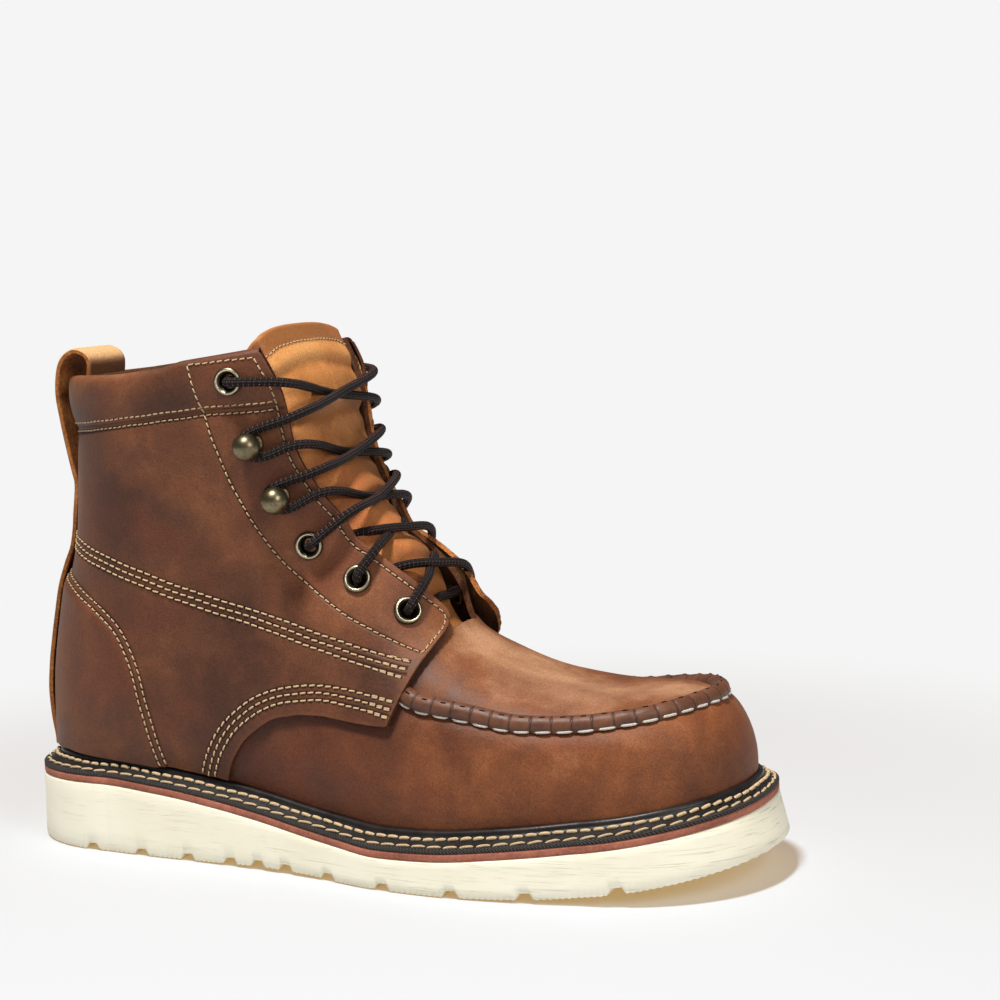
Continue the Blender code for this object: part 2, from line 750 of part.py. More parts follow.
def counter():
    columns = 4
    on_back = FINE_U >= CORNER
    back_clear = FINE["low_z"][on_back] - welt_top(FINE["low_x"][on_back]) - PANEL_CLEAR
    join = float(np.interp(0, back_clear, FINE_U[on_back]))
    low_rows = np.linspace(COUNTER_ROWS[0], join, 8)
    high_rows = np.linspace(join, COUNTER_ROWS[1], 8)[1:]
    sheet = Sheet()
    rows = []
    for u in list(low_rows) + list(high_rows):
        row = []
        for side in (LATERAL, MEDIAL):
            end = 1.0 if u >= join else min(end_t(u, side), END_T)
            edge = min(counter_t(u, side), end - 0.02)
            half = [sheet.add(on_last(u, side, edge + (end - edge) * j / columns)) for j in range(columns + 1)]
            if side == LATERAL:
                row += half + [None]
            else:
                row += half[::-1]
        rows.append(row)
    sheet.grid([row[::-1] for row in rows])
    points, faces = sheet.thicken(PANEL_OUT + 0.9, COUNTER_OUT)
    return solid("counter", points, faces, "leather")


def collar():
    columns = 8
    steps = 4
    sheet = Sheet()
    rows = []
    for i in range(steps + 1):
        row = []
        for side in (LATERAL, MEDIAL):
            half = []
            for j in range(columns + 1):
                edge = opening_t(13.4, side)
                t = edge + (1 - edge) * j / columns
                low = float(along(COLLAR_SEAM, t)) + 0.03
                u = low + (COLLAR - low) * i / steps
                edge = opening_t(u, side)
                t = edge + (1 - edge) * j / columns
                puff = math.sin(math.pi * i / steps)
                half.append(sheet.add(on_last(u, side, t), puff))
            row += half if side == LATERAL else half[-2::-1]
        rows.append(row)
    sheet.grid([row[::-1] for row in rows])
    edge_out = PANEL_OUT - 0.3
    points, faces = sheet.thicken(GAP, edge_out + (COLLAR_OUT - edge_out) * np.array(sheet.extra))
    return solid("collar", points, faces, "leather")


def backstay():
    """Strip up the back seam that ends in the pull loop."""
    across = (-1.0, -0.5, 0.0, 0.5, 1.0)
    outer = []
    inner = []
    for u in (9.5, 9.8, 10.1, 10.4, 10.7, 11.0, 11.3, 11.6, 11.9, 12.2):
        over_counter = float(np.clip((COUNTER_ROWS[1] + 0.35 - u) / 0.3, 0, 1))
        low = PANEL_OUT + 0.8 + over_counter * (COUNTER_OUT - PANEL_OUT)
        for share in across:
            side = LATERAL if share < 0 else MEDIAL
            t = 1 - abs(share) * LOOP_HALF / line_length(u, side)
            place = on_last(u, side, t)
            out = out_of_last(u, side, t)
            inner.append(place + out * low)
            outer.append(place + out * (low + LOOP_THICK - 0.4))
    walk = np.array(LOOP_PATH, float)
    fine = np.linspace(0, len(walk) - 1, 16)
    path = np.stack([smooth(np.arange(len(walk)), walk[:, k], fine) for k in range(2)], 1)
    heading = np.gradient(path, axis=0)
    heading /= np.linalg.norm(heading, axis=1)[:, None]
    for spot, way in zip(path, heading):
        inward = np.array([way[1], -way[0]])
        wrap = LOOP_WRAP * float(np.clip((LOOP_FLAT - spot[1]) / (LOOP_FLAT - LOOP_PATH[0][1]), 0, 1))
        if spot[0] > LOOP_PATH[6][0]:
            wrap = 0.0
        for share in across:
            y = share * LOOP_HALF
            x = spot[0] + wrap * share ** 2
            outer.append(np.array([x, y, spot[1]]))
            inner.append(np.array([x + inward[0] * LOOP_THICK, y, spot[1] + inward[1] * LOOP_THICK]))
    sheet_faces = []
    width = len(across)
    rows = len(outer) // width
    count = len(outer)
    for i in range(rows - 1):
        for k in range(width - 1):
            a = i * width + k
            sheet_faces.append([a, a + 1, a + 1 + width, a + width])
    faces = sheet_faces + [[v + count for v in reversed(face)] for face in sheet_faces]
    seen = set()
    for face in sheet_faces:
        for a, b in zip(face, face[1:] + face[:1]):
            seen.add((a, b))
    for a, b in seen:
        if (b, a) not in seen:
            faces.append([b, a, a + count, b + count])
    return solid("backstay_loop", np.array(outer + inner), faces, "leather")


def moc_seam():
    """Rolled ridge along the seam round the toe."""
    shape = ((-3.2, 0.5), (-2.9, 1.9), (-1.5, 3.1), (0.0, 3.5), (1.5, 3.1), (2.9, 1.9), (3.2, 0.5))
    turn = np.linspace(-4.78, 4.78, 31)
    path = []
    normal = []
    for signed in turn:
        side = LATERAL if signed < 0 else MEDIAL
        u = abs(signed)
        t = float(along(MOC_LINE, u))
        path.append(on_last(u, side, t))
        normal.append(out_of_last(max(u, 0.04), side, max(t, 0.01)))
    path = np.array(path)
    normal = np.array(normal)
    middle = len(path) // 2
    normal[middle][1] = 0.0
    heading = np.gradient(path, axis=0)
    heading /= np.linalg.norm(heading, axis=1)[:, None]
    points = []
    for place, out, way in zip(path, normal, heading):
        across = np.cross(way, out)
        across /= np.linalg.norm(across)
        out = np.cross(across, way)
        for a, b in shape:
            points.append(place + across * a + out * b)
    return solid("moc_seam", *tube_faces(points, len(shape)), "leather")


def tube_faces(points, ring):
    rows = len(points) // ring
    faces = []
    for i in range(rows - 1):
        for k in range(ring):
            a = i * ring + k
            b = i * ring + (k + 1) % ring
            faces.append([a, b, b + ring, a + ring])
    faces.append(list(range(ring))[::-1])
    faces.append(list(range((rows - 1) * ring, rows * ring)))
    return np.array(points), faces


TONGUE_ROWS = (4.35, 4.7, 5.1, 5.6, 6.2, 6.9, 7.7, 8.6, 9.5, 10.4, 11.2, 12.0, 12.8, 13.5, 14.0)
TONGUE_WRAP = 13.0
TONGUE_DROP = BASE_WALL + 1.2 + TONGUE / 2
# How far the tongue bulges towards the full front of the last: u, share
TONGUE_BULGE = ((4.3, 1.0), (5.2, 0.97), (6, 0.62), (7, 0.38), (9, 0.24), (11, 0.16), (14, 0.08))
TONGUE_RISE = 8.0
TONGUE_COLUMNS = (-1.0, -0.85, -0.7, -0.35, 0.0, 0.35, 0.7, 0.85, 1.0)
TONGUE_EDGE = 0.7


def tongue_row(u):
    """Middle of the tongue's thickness across station u."""
    row = []
    edges = {}
    for side in (LATERAL, MEDIAL):
        t = opening_t(max(u, THROAT), side)
        edges[side] = on_last(u, side, t) - TONGUE_DROP * out_of_last(u, side, t)
    for share in TONGUE_COLUMNS:
        side = LATERAL if share < 0 else MEDIAL
        edge = opening_t(max(u, THROAT), side)
        if abs(share) >= TONGUE_EDGE:
            under = (abs(share) - TONGUE_EDGE) / (1 - TONGUE_EDGE) * TONGUE_WRAP
            t = edge + under / line_length(u, side)
            row.append(on_last(u, side, t) - TONGUE_DROP * out_of_last(u, side, t))
        else:
            t = edge * abs(share) / TONGUE_EDGE
            full = on_last(u, side, t) - TONGUE_DROP * out_of_last(u, side, max(t, 0.012))
            cross = (share / TONGUE_EDGE + 1) / 2
            chord = edges[LATERAL] + (edges[MEDIAL] - edges[LATERAL]) * cross
            row.append(chord + (full - chord) * float(along(TONGUE_BULGE, u)))
    return np.array(row)


def tongue():
    rows = [tongue_row(u) for u in TONGUE_ROWS]
    climb = rows[-1] - rows[-2]
    climb /= np.linalg.norm(climb, axis=1)[:, None]
    reach = np.array([TONGUE_RISE * (1 - 0.85 * abs(share) ** 2.5) for share in TONGUE_COLUMNS])
    for part in (0.5, 1.0):
        rows.append(rows[len(TONGUE_ROWS) - 1] + climb * (reach * part)[:, None])
    sheet = Sheet()
    sheet.grid([[sheet.add(p) for p in row] for row in rows])
    points, faces = sheet.thicken(-TONGUE / 2, TONGUE / 2)
    return solid("tongue", points, faces, "tongue_leather")


# Lace fittings
LACE_AHEAD = np.array([0.75, 0.0, 0.66])


def lathe(profile, place, out, segments, closed):
    """Turned shape about the direction out; a closed profile makes a ring, an open one starts and ends on the axis."""
    side_way = np.cross(out, (0.0, 0.0, 1.0))
    side_way /= np.linalg.norm(side_way)
    up_way = np.cross(side_way, out)
    points = []
    for k in range(segments):
        turn = 2 * math.pi * k / segments
        way = side_way * math.cos(turn) + up_way * math.sin(turn)
        for radius, height in profile:
            points.append(place + way * radius + out * height)
    ring = len(profile)
    faces = []
    for k in range(segments):
        after = (k + 1) % segments
        for m in range(ring if closed else ring - 1):
            n = (m + 1) % ring
            faces.append([k * ring + m, k * ring + n, after * ring + n, after * ring + m])
    return np.array(points), faces


def seat(u):
    """Height of the leather's outer face under a fitting at station u."""
    return COLLAR_OUT if u > 13.0 else PANEL_OUT


def fitting_place(index, side):
    _, u, t = FITTINGS[index]
    return on_last(u, side, t), out_of_last(u, side, t), seat(u) + 2 * GAP


def eyelet_profile(base):
    return (
        (EYELET_BORE, -BASE_WALL - 0.7),
        (EYELET_BARREL, -BASE_WALL - 0.7),
        (EYELET_BARREL, base),
        (EYELET_FLANGE, base),
        (EYELET_FLANGE - 0.4, base + 0.9),
        (EYELET_BORE + 0.7, base + 1.3),
        (EYELET_BORE, base + 0.6),
    )


def hook_profile(base):
    ball = base + 2.6 + HOOK_BALL
    neck = math.asin(1.9 / HOOK_BALL)
    profile = [(0.0, base), (4.3, base), (4.0, base + 0.9), (1.9, base + 1.2)]
    for k in range(6):
        turn = neck + (math.pi - neck) * k / 5
        profile.append((HOOK_BALL * math.sin(turn) if k < 5 else 0.0, ball - HOOK_BALL * math.cos(turn)))
    return profile


def fittings():
    holes = []
    for side, word in ((LATERAL, "lateral"), (MEDIAL, "medial")):
        counts = {"eyelet": 0, "hook": 0}
        for index, (kind, _, _) in enumerate(FITTINGS):
            counts[kind] += 1
            place, out, base = fitting_place(index, side)
            name = f"{kind}_{word}_{counts[kind]}"
            if kind == "eyelet":
                solid(name, *lathe(eyelet_profile(base), place, out, 8, True), "brass")
                bore = EYELET_BARREL + GAP
                pin = ((0.0, -6.0), (bore, -6.0), (bore, 7.0), (0.0, 7.0))
                holes.append(lathe(pin, place, out, 8, False))
            else:
                solid(name, *lathe(hook_profile(base), place, out, 8, False), "brass")
    points = []
    faces = []
    for hole_points, hole_faces in holes:
        start = len(points)
        points += list(hole_points)
        faces += [[v + start for v in face] for face in hole_faces]
    return cutter("eyelet_holes", np.array(points), faces)


def cord(controls, stations_count, sides=5):
    """Tube of the lace's radius along a smooth path through control points."""
    controls = np.array(controls)
    walked = np.concatenate([[0], np.cumsum(np.linalg.norm(np.diff(controls, axis=0), axis=1))])
    fine = np.linspace(0, walked[-1], stations_count)
    path = np.stack([smooth(walked, controls[:, k], fine) for k in range(3)], 1)
    heading = np.gradient(path, axis=0)
    heading /= np.linalg.norm(heading, axis=1)[:, None]
    points = []
    for place, way in zip(path, heading):
        first = np.cross(way, (0.0, 0.0, 1.0))
        first /= np.linalg.norm(first)
        second = np.cross(first, way)
        for k in range(sides):
            turn = 2 * math.pi * k / sides
            points.append(place + LACE_RADIUS * (first * math.cos(turn) + second * math.sin(turn)))
    return tube_faces(points, sides)


def lace_end(index, side, rising):
    """Where a strand stops at a fitting, and where it passes the edge of the leather.

    A rising strand leaves its fitting for the next one up. One that arrives at an eyelet from below passes under
    the leather, so it stops short of the edge; at a hook both stop beside the neck, one above the other."""
    kind, u, _ = FITTINGS[index]
    place, out, base = fitting_place(index, side)
    edge_t = opening_t(u, side)
    edge_out = out_of_last(u, side, edge_t)
    edge = on_last(u, side, edge_t)
    over = edge + edge_out * (seat(u) + LACE_RADIUS + 2.8)
    if kind == "hook":
        towards = edge - place
        towards -= out * np.dot(towards, out)
        towards /= np.linalg.norm(towards)
        up = np.cross(out, towards)
        up *= np.sign(up[2]) * (3.4 if rising else -3.4)
        stop = place + out * (base + 1.2 + LACE_RADIUS + 0.4) + towards * 6.0 + up
        return stop, over + up
    if rising or index == len(FITTINGS) - 1:
        return place + out * (base + 1.3 + LACE_RADIUS + 0.8), over
    inside = np.array([0.0, -side, 0.0])
    stop = edge + inside * (LACE_RADIUS + 2.8) + edge_out * 3.0
    return stop, stop + inside * 5.0 + edge_out * 1.5


def strand(low, low_side, lift):
    """Strand from a fitting on one side to the next fitting up on the other side."""
    start, start_edge = lace_end(low, low_side, True)
    finish, finish_edge = lace_end(low + 1, -low_side, False)
    middle = (start_edge + finish_edge) / 2
    return [start, start_edge, middle + LACE_AHEAD * lift, finish_edge, finish]


def laces():
    for index in range(len(FITTINGS) - 1):
        first = solid(f"lace_cross_{index + 1}", *cord(strand(index, LATERAL, 6.2), 8), "lace_fabric")
        other = cutter(f"lace_under_{index + 1}", *cord(strand(index, MEDIAL, 4.2), 8))
        boolean(first, other, "UNION")


outsole()
midsole()
insole()
welt()
boot_upper = upper()
panels = [quarter(LATERAL, "quarter_lateral"), quarter(MEDIAL, "quarter_medial"), collar()]
counter()
backstay()
moc_seam()
tongue()
eyelet_holes = fittings()
for panel in [boot_upper] + panels:
    boolean(panel, eyelet_holes, "DIFFERENCE")
laces()
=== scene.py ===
"""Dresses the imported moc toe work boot: leather panels, seams, sole, fittings and lace.

The boot's last is drawn again here from its own sizes, in millimetres from the back of the heel, and
each panel lies on it. A place on the last is given by u, the station from the toe tip (0) to the collar
(14), and t, the way round the section from the ridge (0) to the feather line or the back seam (1).
"""
import json
import math

import bmesh
import bpy
import numpy as np
from mathutils import Matrix

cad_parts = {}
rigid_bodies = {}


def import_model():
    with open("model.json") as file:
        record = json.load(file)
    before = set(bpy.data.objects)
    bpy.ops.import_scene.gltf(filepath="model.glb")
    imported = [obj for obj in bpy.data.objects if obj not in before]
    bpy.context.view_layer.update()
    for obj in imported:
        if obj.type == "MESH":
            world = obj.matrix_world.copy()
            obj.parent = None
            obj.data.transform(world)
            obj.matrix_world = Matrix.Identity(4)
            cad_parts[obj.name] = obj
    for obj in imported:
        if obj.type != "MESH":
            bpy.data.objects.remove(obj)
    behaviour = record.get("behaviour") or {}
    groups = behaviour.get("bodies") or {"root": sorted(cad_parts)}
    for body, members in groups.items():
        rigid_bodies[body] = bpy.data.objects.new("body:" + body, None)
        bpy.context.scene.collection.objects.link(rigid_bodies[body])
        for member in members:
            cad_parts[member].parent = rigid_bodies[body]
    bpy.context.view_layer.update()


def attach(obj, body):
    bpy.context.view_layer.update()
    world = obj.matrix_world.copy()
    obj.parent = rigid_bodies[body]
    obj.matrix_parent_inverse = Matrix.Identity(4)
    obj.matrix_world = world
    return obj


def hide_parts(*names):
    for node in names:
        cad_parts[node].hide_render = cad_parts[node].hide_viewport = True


for leftover in list(bpy.data.objects):
    bpy.data.objects.remove(leftover, do_unlink=True)

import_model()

# Sizes of the part
MM = 0.001
BASE_WALL = 2.2
PANEL_OUT = 1.9
COUNTER_OUT = 3.9
COLLAR_OUT = 2.9
PANEL_CLEAR = 1.1
GAP = 0.3
MIDSOLE = 3.2
WELT = 2.6
WELT_BEAD = 3.6
REACH_SIDE = 10.0
REACH_END = 8.0
FLARE_TOE = 4.0
FLARE_HEEL = 0.8
NOTCH_DEPTH = 2.6
NOTCH_FLOOR = 4.0
NOTCH_MOUTH = 7.0
INSOLE = 2.4
TONGUE = 3.0
EYELET_BORE = 2.6
EYELET_FLANGE = 5.2
HOOK_BALL = 5.1
LACE_RADIUS = 1.7
LATERAL = -1
MEDIAL = 1
SIDES = (LATERAL, MEDIAL)

# Sole seen from the side: x, height of its top, height of the tread
SOLE_PROFILE = (
    (0, 25.0, 0.0),
    (20, 26.0, 0.0),
    (45, 26.3, 0.0),
    (70, 24.6, 0.0),
    (92, 22.0, 0.3),
    (115, 18.6, 1.0),
    (137, 14.9, 0.8),
    (150, 13.2, 0.0),
    (167, 11.8, 0.0),
    (187, 12.4, 0.0),
    (212, 14.8, 0.5),
    (232, 17.2, 1.8),
    (251, 19.8, 3.9),
    (268, 22.6, 6.6),
    (284, 25.4, 9.6),
    (304, 29.0, 13.5),
)
NOTCH_X = (38, 61, 82, 101, 113.5, 126, 145, 169, 196, 223, 255)

# Feather line, where the upper meets the sole: x, lateral and medial half width about the centre line
FEATHER_PROFILE = (
    (46, 27.5, 27.0),
    (61, 29.0, 28.0),
    (82, 30.2, 27.5),
    (110, 32.8, 26.0),
    (145, 38.2, 28.0),
    (169, 43.6, 32.5),
    (196, 45.6, 37.5),
    (223, 44.6, 39.5),
    (240, 43.0, 38.5),
)
FEATHER_HEEL = 9.5
FEATHER_TOE = 288.0
HEEL_ROUND = 2.3
TOE_ROUND = 2.25
CENTRE_LINE = ((0, 0.0), (150, 0.0), (200, 0.6), (245, 2.6), (289, 5.0), (320, 6.0))

# Fan sections: lower end x and z (z None is the feather line), upper end x and z, lateral and medial
# half width, share of the height where the section is widest, roundness above and below it, bow, and
# whether the half widths are the section's own (1) or follow the feather line (0)
FAN = (
    (288.0, None, 277.5, 64.5, 0.0, 0.0, 0.40, 4.2, 2.2, 5.0, 0),
    (272.0, None, 264.0, 65.5, 30.0, 30.0, 0.40, 3.8, 2.2, 3.0, 0),
    (246.0, None, 243.0, 66.0, 43.0, 40.0, 0.40, 3.2, 2.2, 0.5, 0),
    (215.0, None, 218.0, 69.5, 48.0, 43.0, 0.38, 2.7, 2.2, 0.0, 1),
    (186.0, None, 197.0, 78.0, 48.5, 42.0, 0.38, 2.4, 2.2, 0.0, 1),
    (150.0, None, 182.0, 88.0, 45.0, 40.0, 0.38, 2.3, 2.2, 0.0, 1),
    (105.0, None, 177.5, 102.0, 40.0, 38.5, 0.38, 2.3, 2.2, 0.0, 1),
    (60.0, None, 172.0, 117.0, 38.0, 37.0, 0.38, 2.3, 2.2, 0.0, 1),
    (25.0, None, 168.5, 126.0, 36.5, 36.0, 0.39, 2.3, 2.1, 0.0, 1),
    (9.5, None, 167.0, 131.0, 36.0, 35.5, 0.40, 2.3, 2.1, 0.0, 1),
    (9.0, 54.0, 164.5, 138.0, 36.0, 35.5, 0.42, 2.3, 2.0, 0.0, 1),
    (15.0, 89.0, 160.5, 150.0, 37.5, 37.0, 0.43, 2.35, 2.0, 0.0, 1),
    (23.0, 120.0, 156.5, 164.0, 39.5, 39.0, 0.43, 2.4, 2.0, 0.0, 1),
    (26.0, 158.0, 152.5, 182.0, 41.0, 40.5, 0.43, 2.45, 2.0, -1.0, 1),
    (25.5, 180.0, 150.0, 196.0, 41.5, 41.0, 0.43, 2.45, 2.0, -1.5, 1),
)
FAN_COLUMNS = ("low_x", "low_z", "top_x", "top_z", "lateral", "medial", "widest", "over", "under", "bow",
               "own")
CORNER = 9
COLLAR = 14
THROAT = 5.0
TOE_SWELL = 1.03
END_T = 0.985

# Pattern lines on the last
OPENING = ((5, 11.0), (5.5, 12.5), (6, 16.0), (7, 20.8), (8, 22.0), (9, 23.0), (10, 24.4), (11, 28.5),
           (12, 32.3), (13, 34.3), (14, 36.4))
QUARTER_EDGE = ((0, 5.34), (0.16, 5.12), (0.3, 4.97), (0.57, 4.92), (0.59, 5.36), (0.61, 5.88),
                (0.635, 6.16), (0.68, 6.36), (0.76, 6.42), (0.83, 6.38), (0.92, 6.28), (1, 6.15))
COLLAR_SEAM = ((0, 12.62), (0.3, 12.74), (0.44, 12.9), (0.88, 13.08), (1, 13.1))
COUNTER_EDGE = ((34, 73.5), (48, 70.4), (60, 67.2), (75, 63.2), (88, 56.0), (98, 42.0), (105, 24.0),
                (106, 12.0))
COUNTER_ROWS = (6.9, 11.5)
MOC_LINE = ((0, 0.0), (0.2, 0.10), (0.8, 0.36), (1.46, 0.455), (2.2, 0.488), (2.9, 0.497), (3.7, 0.478),
            (4.6, 0.468), (5, 0.446))
MOC_END = 4.9
# Lace fittings from the bottom up: kind, u, t
FITTINGS = (
    ("eyelet", 6.06, 0.215),
    ("eyelet", 7.32, 0.224),
    ("eyelet", 9.82, 0.238),
    ("hook", 11.16, 0.290),
    ("hook", 12.26, 0.339),
    ("eyelet", 13.38, 0.374),
)
# Path of the pull loop behind the shaft: x, z of the strip's outer face
LOOP_PATH = ((19.8, 139), (18.3, 150), (17.0, 163), (16.4, 174), (17.4, 182.5), (20.8, 188.6),
             (26.2, 191.0), (31.2, 189.2), (33.6, 185.8), (33.2, 180.5), (31.6, 174.5))
LOOP_HALF = 12.5
LOOP_THICK = 2.0
LOOP_WRAP = 3.2
LOOP_FLAT = 172.0

# Rows of stitching in the side view: x, z
TRIPLE_ROW = ((24, 120.6), (45, 115.8), (63.2, 110.8), (84.9, 103.6), (124.8, 92.0), (150, 84.6),
              (174.5, 77.6))
CURVE_ROW = ((88.0, 33.5), (94.6, 46.3), (103.9, 56.9), (115.2, 64.4), (127.8, 68.4), (141.6, 69.6),
             (157.8, 67.6), (171.8, 64.8))
STAY_ROW = ((95, 186.1), (99.8, 167.4), (104.6, 152), (111.4, 134.8), (122.7, 115.7), (144.9, 96.9),
            (176.2, 80.6))
ROW_STEP = 2.6
PAIR_STEP = 2.4
STAY_INSET = 3.0
COLLAR_INSET = 1.2
# Length of the shaft per station near the collar, and of the vamp near the quarters' front edge
COLLAR_STEP = 20.0
FRONT_STEP = 26.0
# Radius of each eyestay's front corner, and how far further forward the medial one reaches, in steps of u
STAY_CORNER = {LATERAL: 10.0, MEDIAL: 17.0}
MEDIAL_REACH = 0.22


def smooth(table_x, table_y, x, flat_start=False):
    """Monotone cubic through a table, without overshoot."""
    xs = np.asarray(table_x, float)
    ys = np.asarray(table_y, float)
    x = np.asarray(x, float)
    step = np.diff(xs)
    rise = np.diff(ys) / step
    slope = np.zeros_like(ys)
    before = 2 * step[1:] + step[:-1]
    after = step[1:] + 2 * step[:-1]
    same_way = rise[:-1] * rise[1:] > 0
    safe_low = np.where(same_way, rise[:-1], 1.0)
    safe_high = np.where(same_way, rise[1:], 1.0)
    slope[1:-1] = np.where(same_way, (before + after) / (before / safe_low + after / safe_high), 0.0)
    slope[0] = 0.0 if flat_start else rise[0]
    slope[-1] = rise[-1]
    i = np.clip(np.searchsorted(xs, x) - 1, 0, len(xs) - 2)
    f = (x - xs[i]) / step[i]
    low = ys[i] * (1 + 2 * f) * (1 - f) ** 2 + step[i] * slope[i] * f * (1 - f) ** 2
    high = ys[i + 1] * f * f * (3 - 2 * f) + step[i] * slope[i + 1] * f * f * (f - 1)
    return low + high


def along(table, x, column=1):
    """A column of a table over its first one, smooth between the rows and constant outside them."""
    xs = [row[0] for row in table]
    ys = [row[column] for row in table]
    return smooth(xs, ys, np.clip(x, xs[0], xs[-1]))


def ease(value):
    """0 below 0, 1 above 1 and a soft step between."""
    value = np.clip(value, 0, 1)
    return value * value * (3 - 2 * value)


def bump(value, width):
    """Bell of height 1 round 0."""
    return np.exp(-(value / width) ** 2)


def unit(vectors):
    return vectors / np.maximum(np.linalg.norm(vectors, axis=-1, keepdims=True), 1e-9)


def walk(path):
    """Distance walked along a path at each of its points."""
    return np.concatenate([[0], np.cumsum(np.linalg.norm(np.diff(path, axis=0), axis=1))])


def places(path, done, at):
    """Points of a path at given distances along it."""
    return np.stack([np.interp(at, done, path[:, k]) for k in range(path.shape[1])], -1)


def spread(path, step):
    """The path again, with points at equal steps."""
    done = walk(path)
    count = max(int(round(done[-1] / step)), 2) + 1
    return places(path, done, np.linspace(0, done[-1], count))


def softened(path, rounds):
    """The path again, with its inner points drawn towards their neighbours a number of times."""
    path = path.copy()
    for _ in range(rounds):
        path[1:-1] = (path[:-2] + 2 * path[1:-1] + path[2:]) / 4
    return path


def curve(points, step):
    """Smooth path through a few points, with points at equal steps."""
    points = np.asarray(points, float)
    done = walk(points)
    fine = np.linspace(0, done[-1], 40 * len(points))
    path = np.stack([smooth(done, points[:, k], fine) for k in range(points.shape[1])], 1)
    return spread(path, step)


def sole_top(x):
    return along(SOLE_PROFILE, x)


def feather_z(x):
    return sole_top(x) + MIDSOLE + GAP


def centre(x):
    return along(CENTRE_LINE, x)


def feather_half(x, side):
    """Half width of the feather line at x, rounded off at the heel and at the toe."""
    body = along(FEATHER_PROFILE, x, 1 if side == LATERAL else 2)
    first = FEATHER_PROFILE[0][0]
    last = FEATHER_PROFILE[-1][0]
    heel = np.clip((first - x) / (first - FEATHER_HEEL), 0, 1)
    toe = np.clip((x - last) / (FEATHER_TOE - last), 0, 1)
    return body * (1 - heel ** HEEL_ROUND) ** (1 / HEEL_ROUND) * (1 - toe ** TOE_ROUND) ** (1 / TOE_ROUND)


def fan_table():
    """The fan columns, read off smoothly at many stations."""
    stations = np.arange(len(FAN), dtype=float)
    fine = np.linspace(0, len(FAN) - 1, 1401)
    columns = {}
    for k, name in enumerate(FAN_COLUMNS):
        values = [row[k] for row in FAN]
        if name == "low_z":
            values = [feather_z(row[0]) if row[1] is None else row[1] for row in FAN]
        columns[name] = smooth(stations, values, fine, flat_start=True)
    on_foot = fine <= CORNER
    columns["low_z"][on_foot] = feather_z(columns["low_x"][on_foot])
    return fine, columns


FINE_U, FINE = fan_table()
SECTION_STEPS = 361
GRID_U = np.linspace(0, COLLAR, 281)
GRID_T = np.linspace(0, 1, 81)
FAIR_ROUNDS = 160
FAIR_WIDTH = 1.3
PAD = 2


def section(u, side):
    """One half of the section at u, from the ridge down, as points at equal steps of t."""
    at = {name: float(np.interp(u, FINE_U, FINE[name])) for name in FAN_COLUMNS}
    foot = float(feather_half(at["low_x"], side)) if u < CORNER else 0.0
    own_half = at["lateral"] if side == LATERAL else at["medial"]
    widest = max((1 - at["own"]) * foot * TOE_SWELL + at["own"] * max(own_half, foot), foot)
    if widest < 1e-6:
        q = np.linspace(1, 0, SECTION_STEPS)
        half = np.zeros(SECTION_STEPS)
    else:
        end = np.arccos(np.clip(foot / widest, 0, 1) ** (at["under"] / 2))
        angle = np.linspace(np.pi / 2, -end, SECTION_STEPS)
        power = np.where(angle >= 0, 2 / at["over"], 2 / at["under"])
        half = widest * np.abs(np.cos(angle)) ** power
        lift = np.sign(np.sin(angle)) * np.abs(np.sin(angle)) ** power
        depth = max(np.sin(end) ** (2 / at["under"]), 1e-9)
        above = at["widest"] + (1 - at["widest"]) * lift
        q = np.where(angle >= 0, above, at["widest"] * (1 + lift / depth))
    run = at["top_x"] - at["low_x"]
    rise = at["top_z"] - at["low_z"]
    length = math.hypot(run, rise)
    forward = 1 if u <= CORNER else -1
    bow = at["bow"] * 4 * q * (1 - q) * forward
    x = at["low_x"] + run * q + bow * rise / length
    z = at["low_z"] + rise * q - bow * run / length
    points = np.stack([x, centre(x) + side * half, z], 1)
    done = walk(points)
    return places(points, done, GRID_T * done[-1])


def faired(points):
    """Softens the crease that the turn from foot to shaft leaves near the heel's corner."""
    near = bump(GRID_U[1:-1] - CORNER, FAIR_WIDTH)
    strength = 0.25 * near[:, None] * (1 - GRID_T ** 5)[None, :]
    for _ in range(FAIR_ROUNDS):
        bend = points[:-2] - 2 * points[1:-1] + points[2:]
        points[1:-1] += strength[:, :, None] * bend
    return points


LAST = {side: faired(np.array([section(u, side) for u in GRID_U])) for side in SIDES}


def widened(side):
    """The last's half with two more lines on each side, from the other half where the surface goes on."""
    halves = {}
    for half in (side, -side):
        own = LAST[half]
        other = LAST[-half]
        last_step = own[:, -1:] - own[:, -2:-1]
        free = np.concatenate([own[:, -1:] + last_step, own[:, -1:] + 2 * last_step], 1)
        joined = other[:, [-2, -3]]
        on_shaft = (GRID_U > CORNER)[:, None, None]
        beyond = np.where(on_shaft, joined, free)
        halves[half] = np.concatenate([other[:, [2, 1]], own, beyond], 1)
    wide = halves[side]
    top_step = wide[-1:] - wide[-2:-1]
    above = np.concatenate([wide[-1:] + top_step, wide[-1:] + 2 * top_step])
    return np.concatenate([halves[-side][[2, 1]], wide, above])


WIDE = {side: widened(side) for side in SIDES}


def grid_normals(points, side):
    normal = np.cross(np.gradient(points, axis=0), np.gradient(points, axis=1)) * -side
    return unit(normal)


WIDE_OUT = {side: grid_normals(WIDE[side], side) for side in SIDES}


def cubic_weights(f):
    return (
        -0.5 * f + f ** 2 - 0.5 * f ** 3,
        1 - 2.5 * f ** 2 + 1.5 * f ** 3,
        0.5 * f + 2 * f ** 2 - 1.5 * f ** 3,
        -0.5 * f ** 2 + 0.5 * f ** 3,
    )


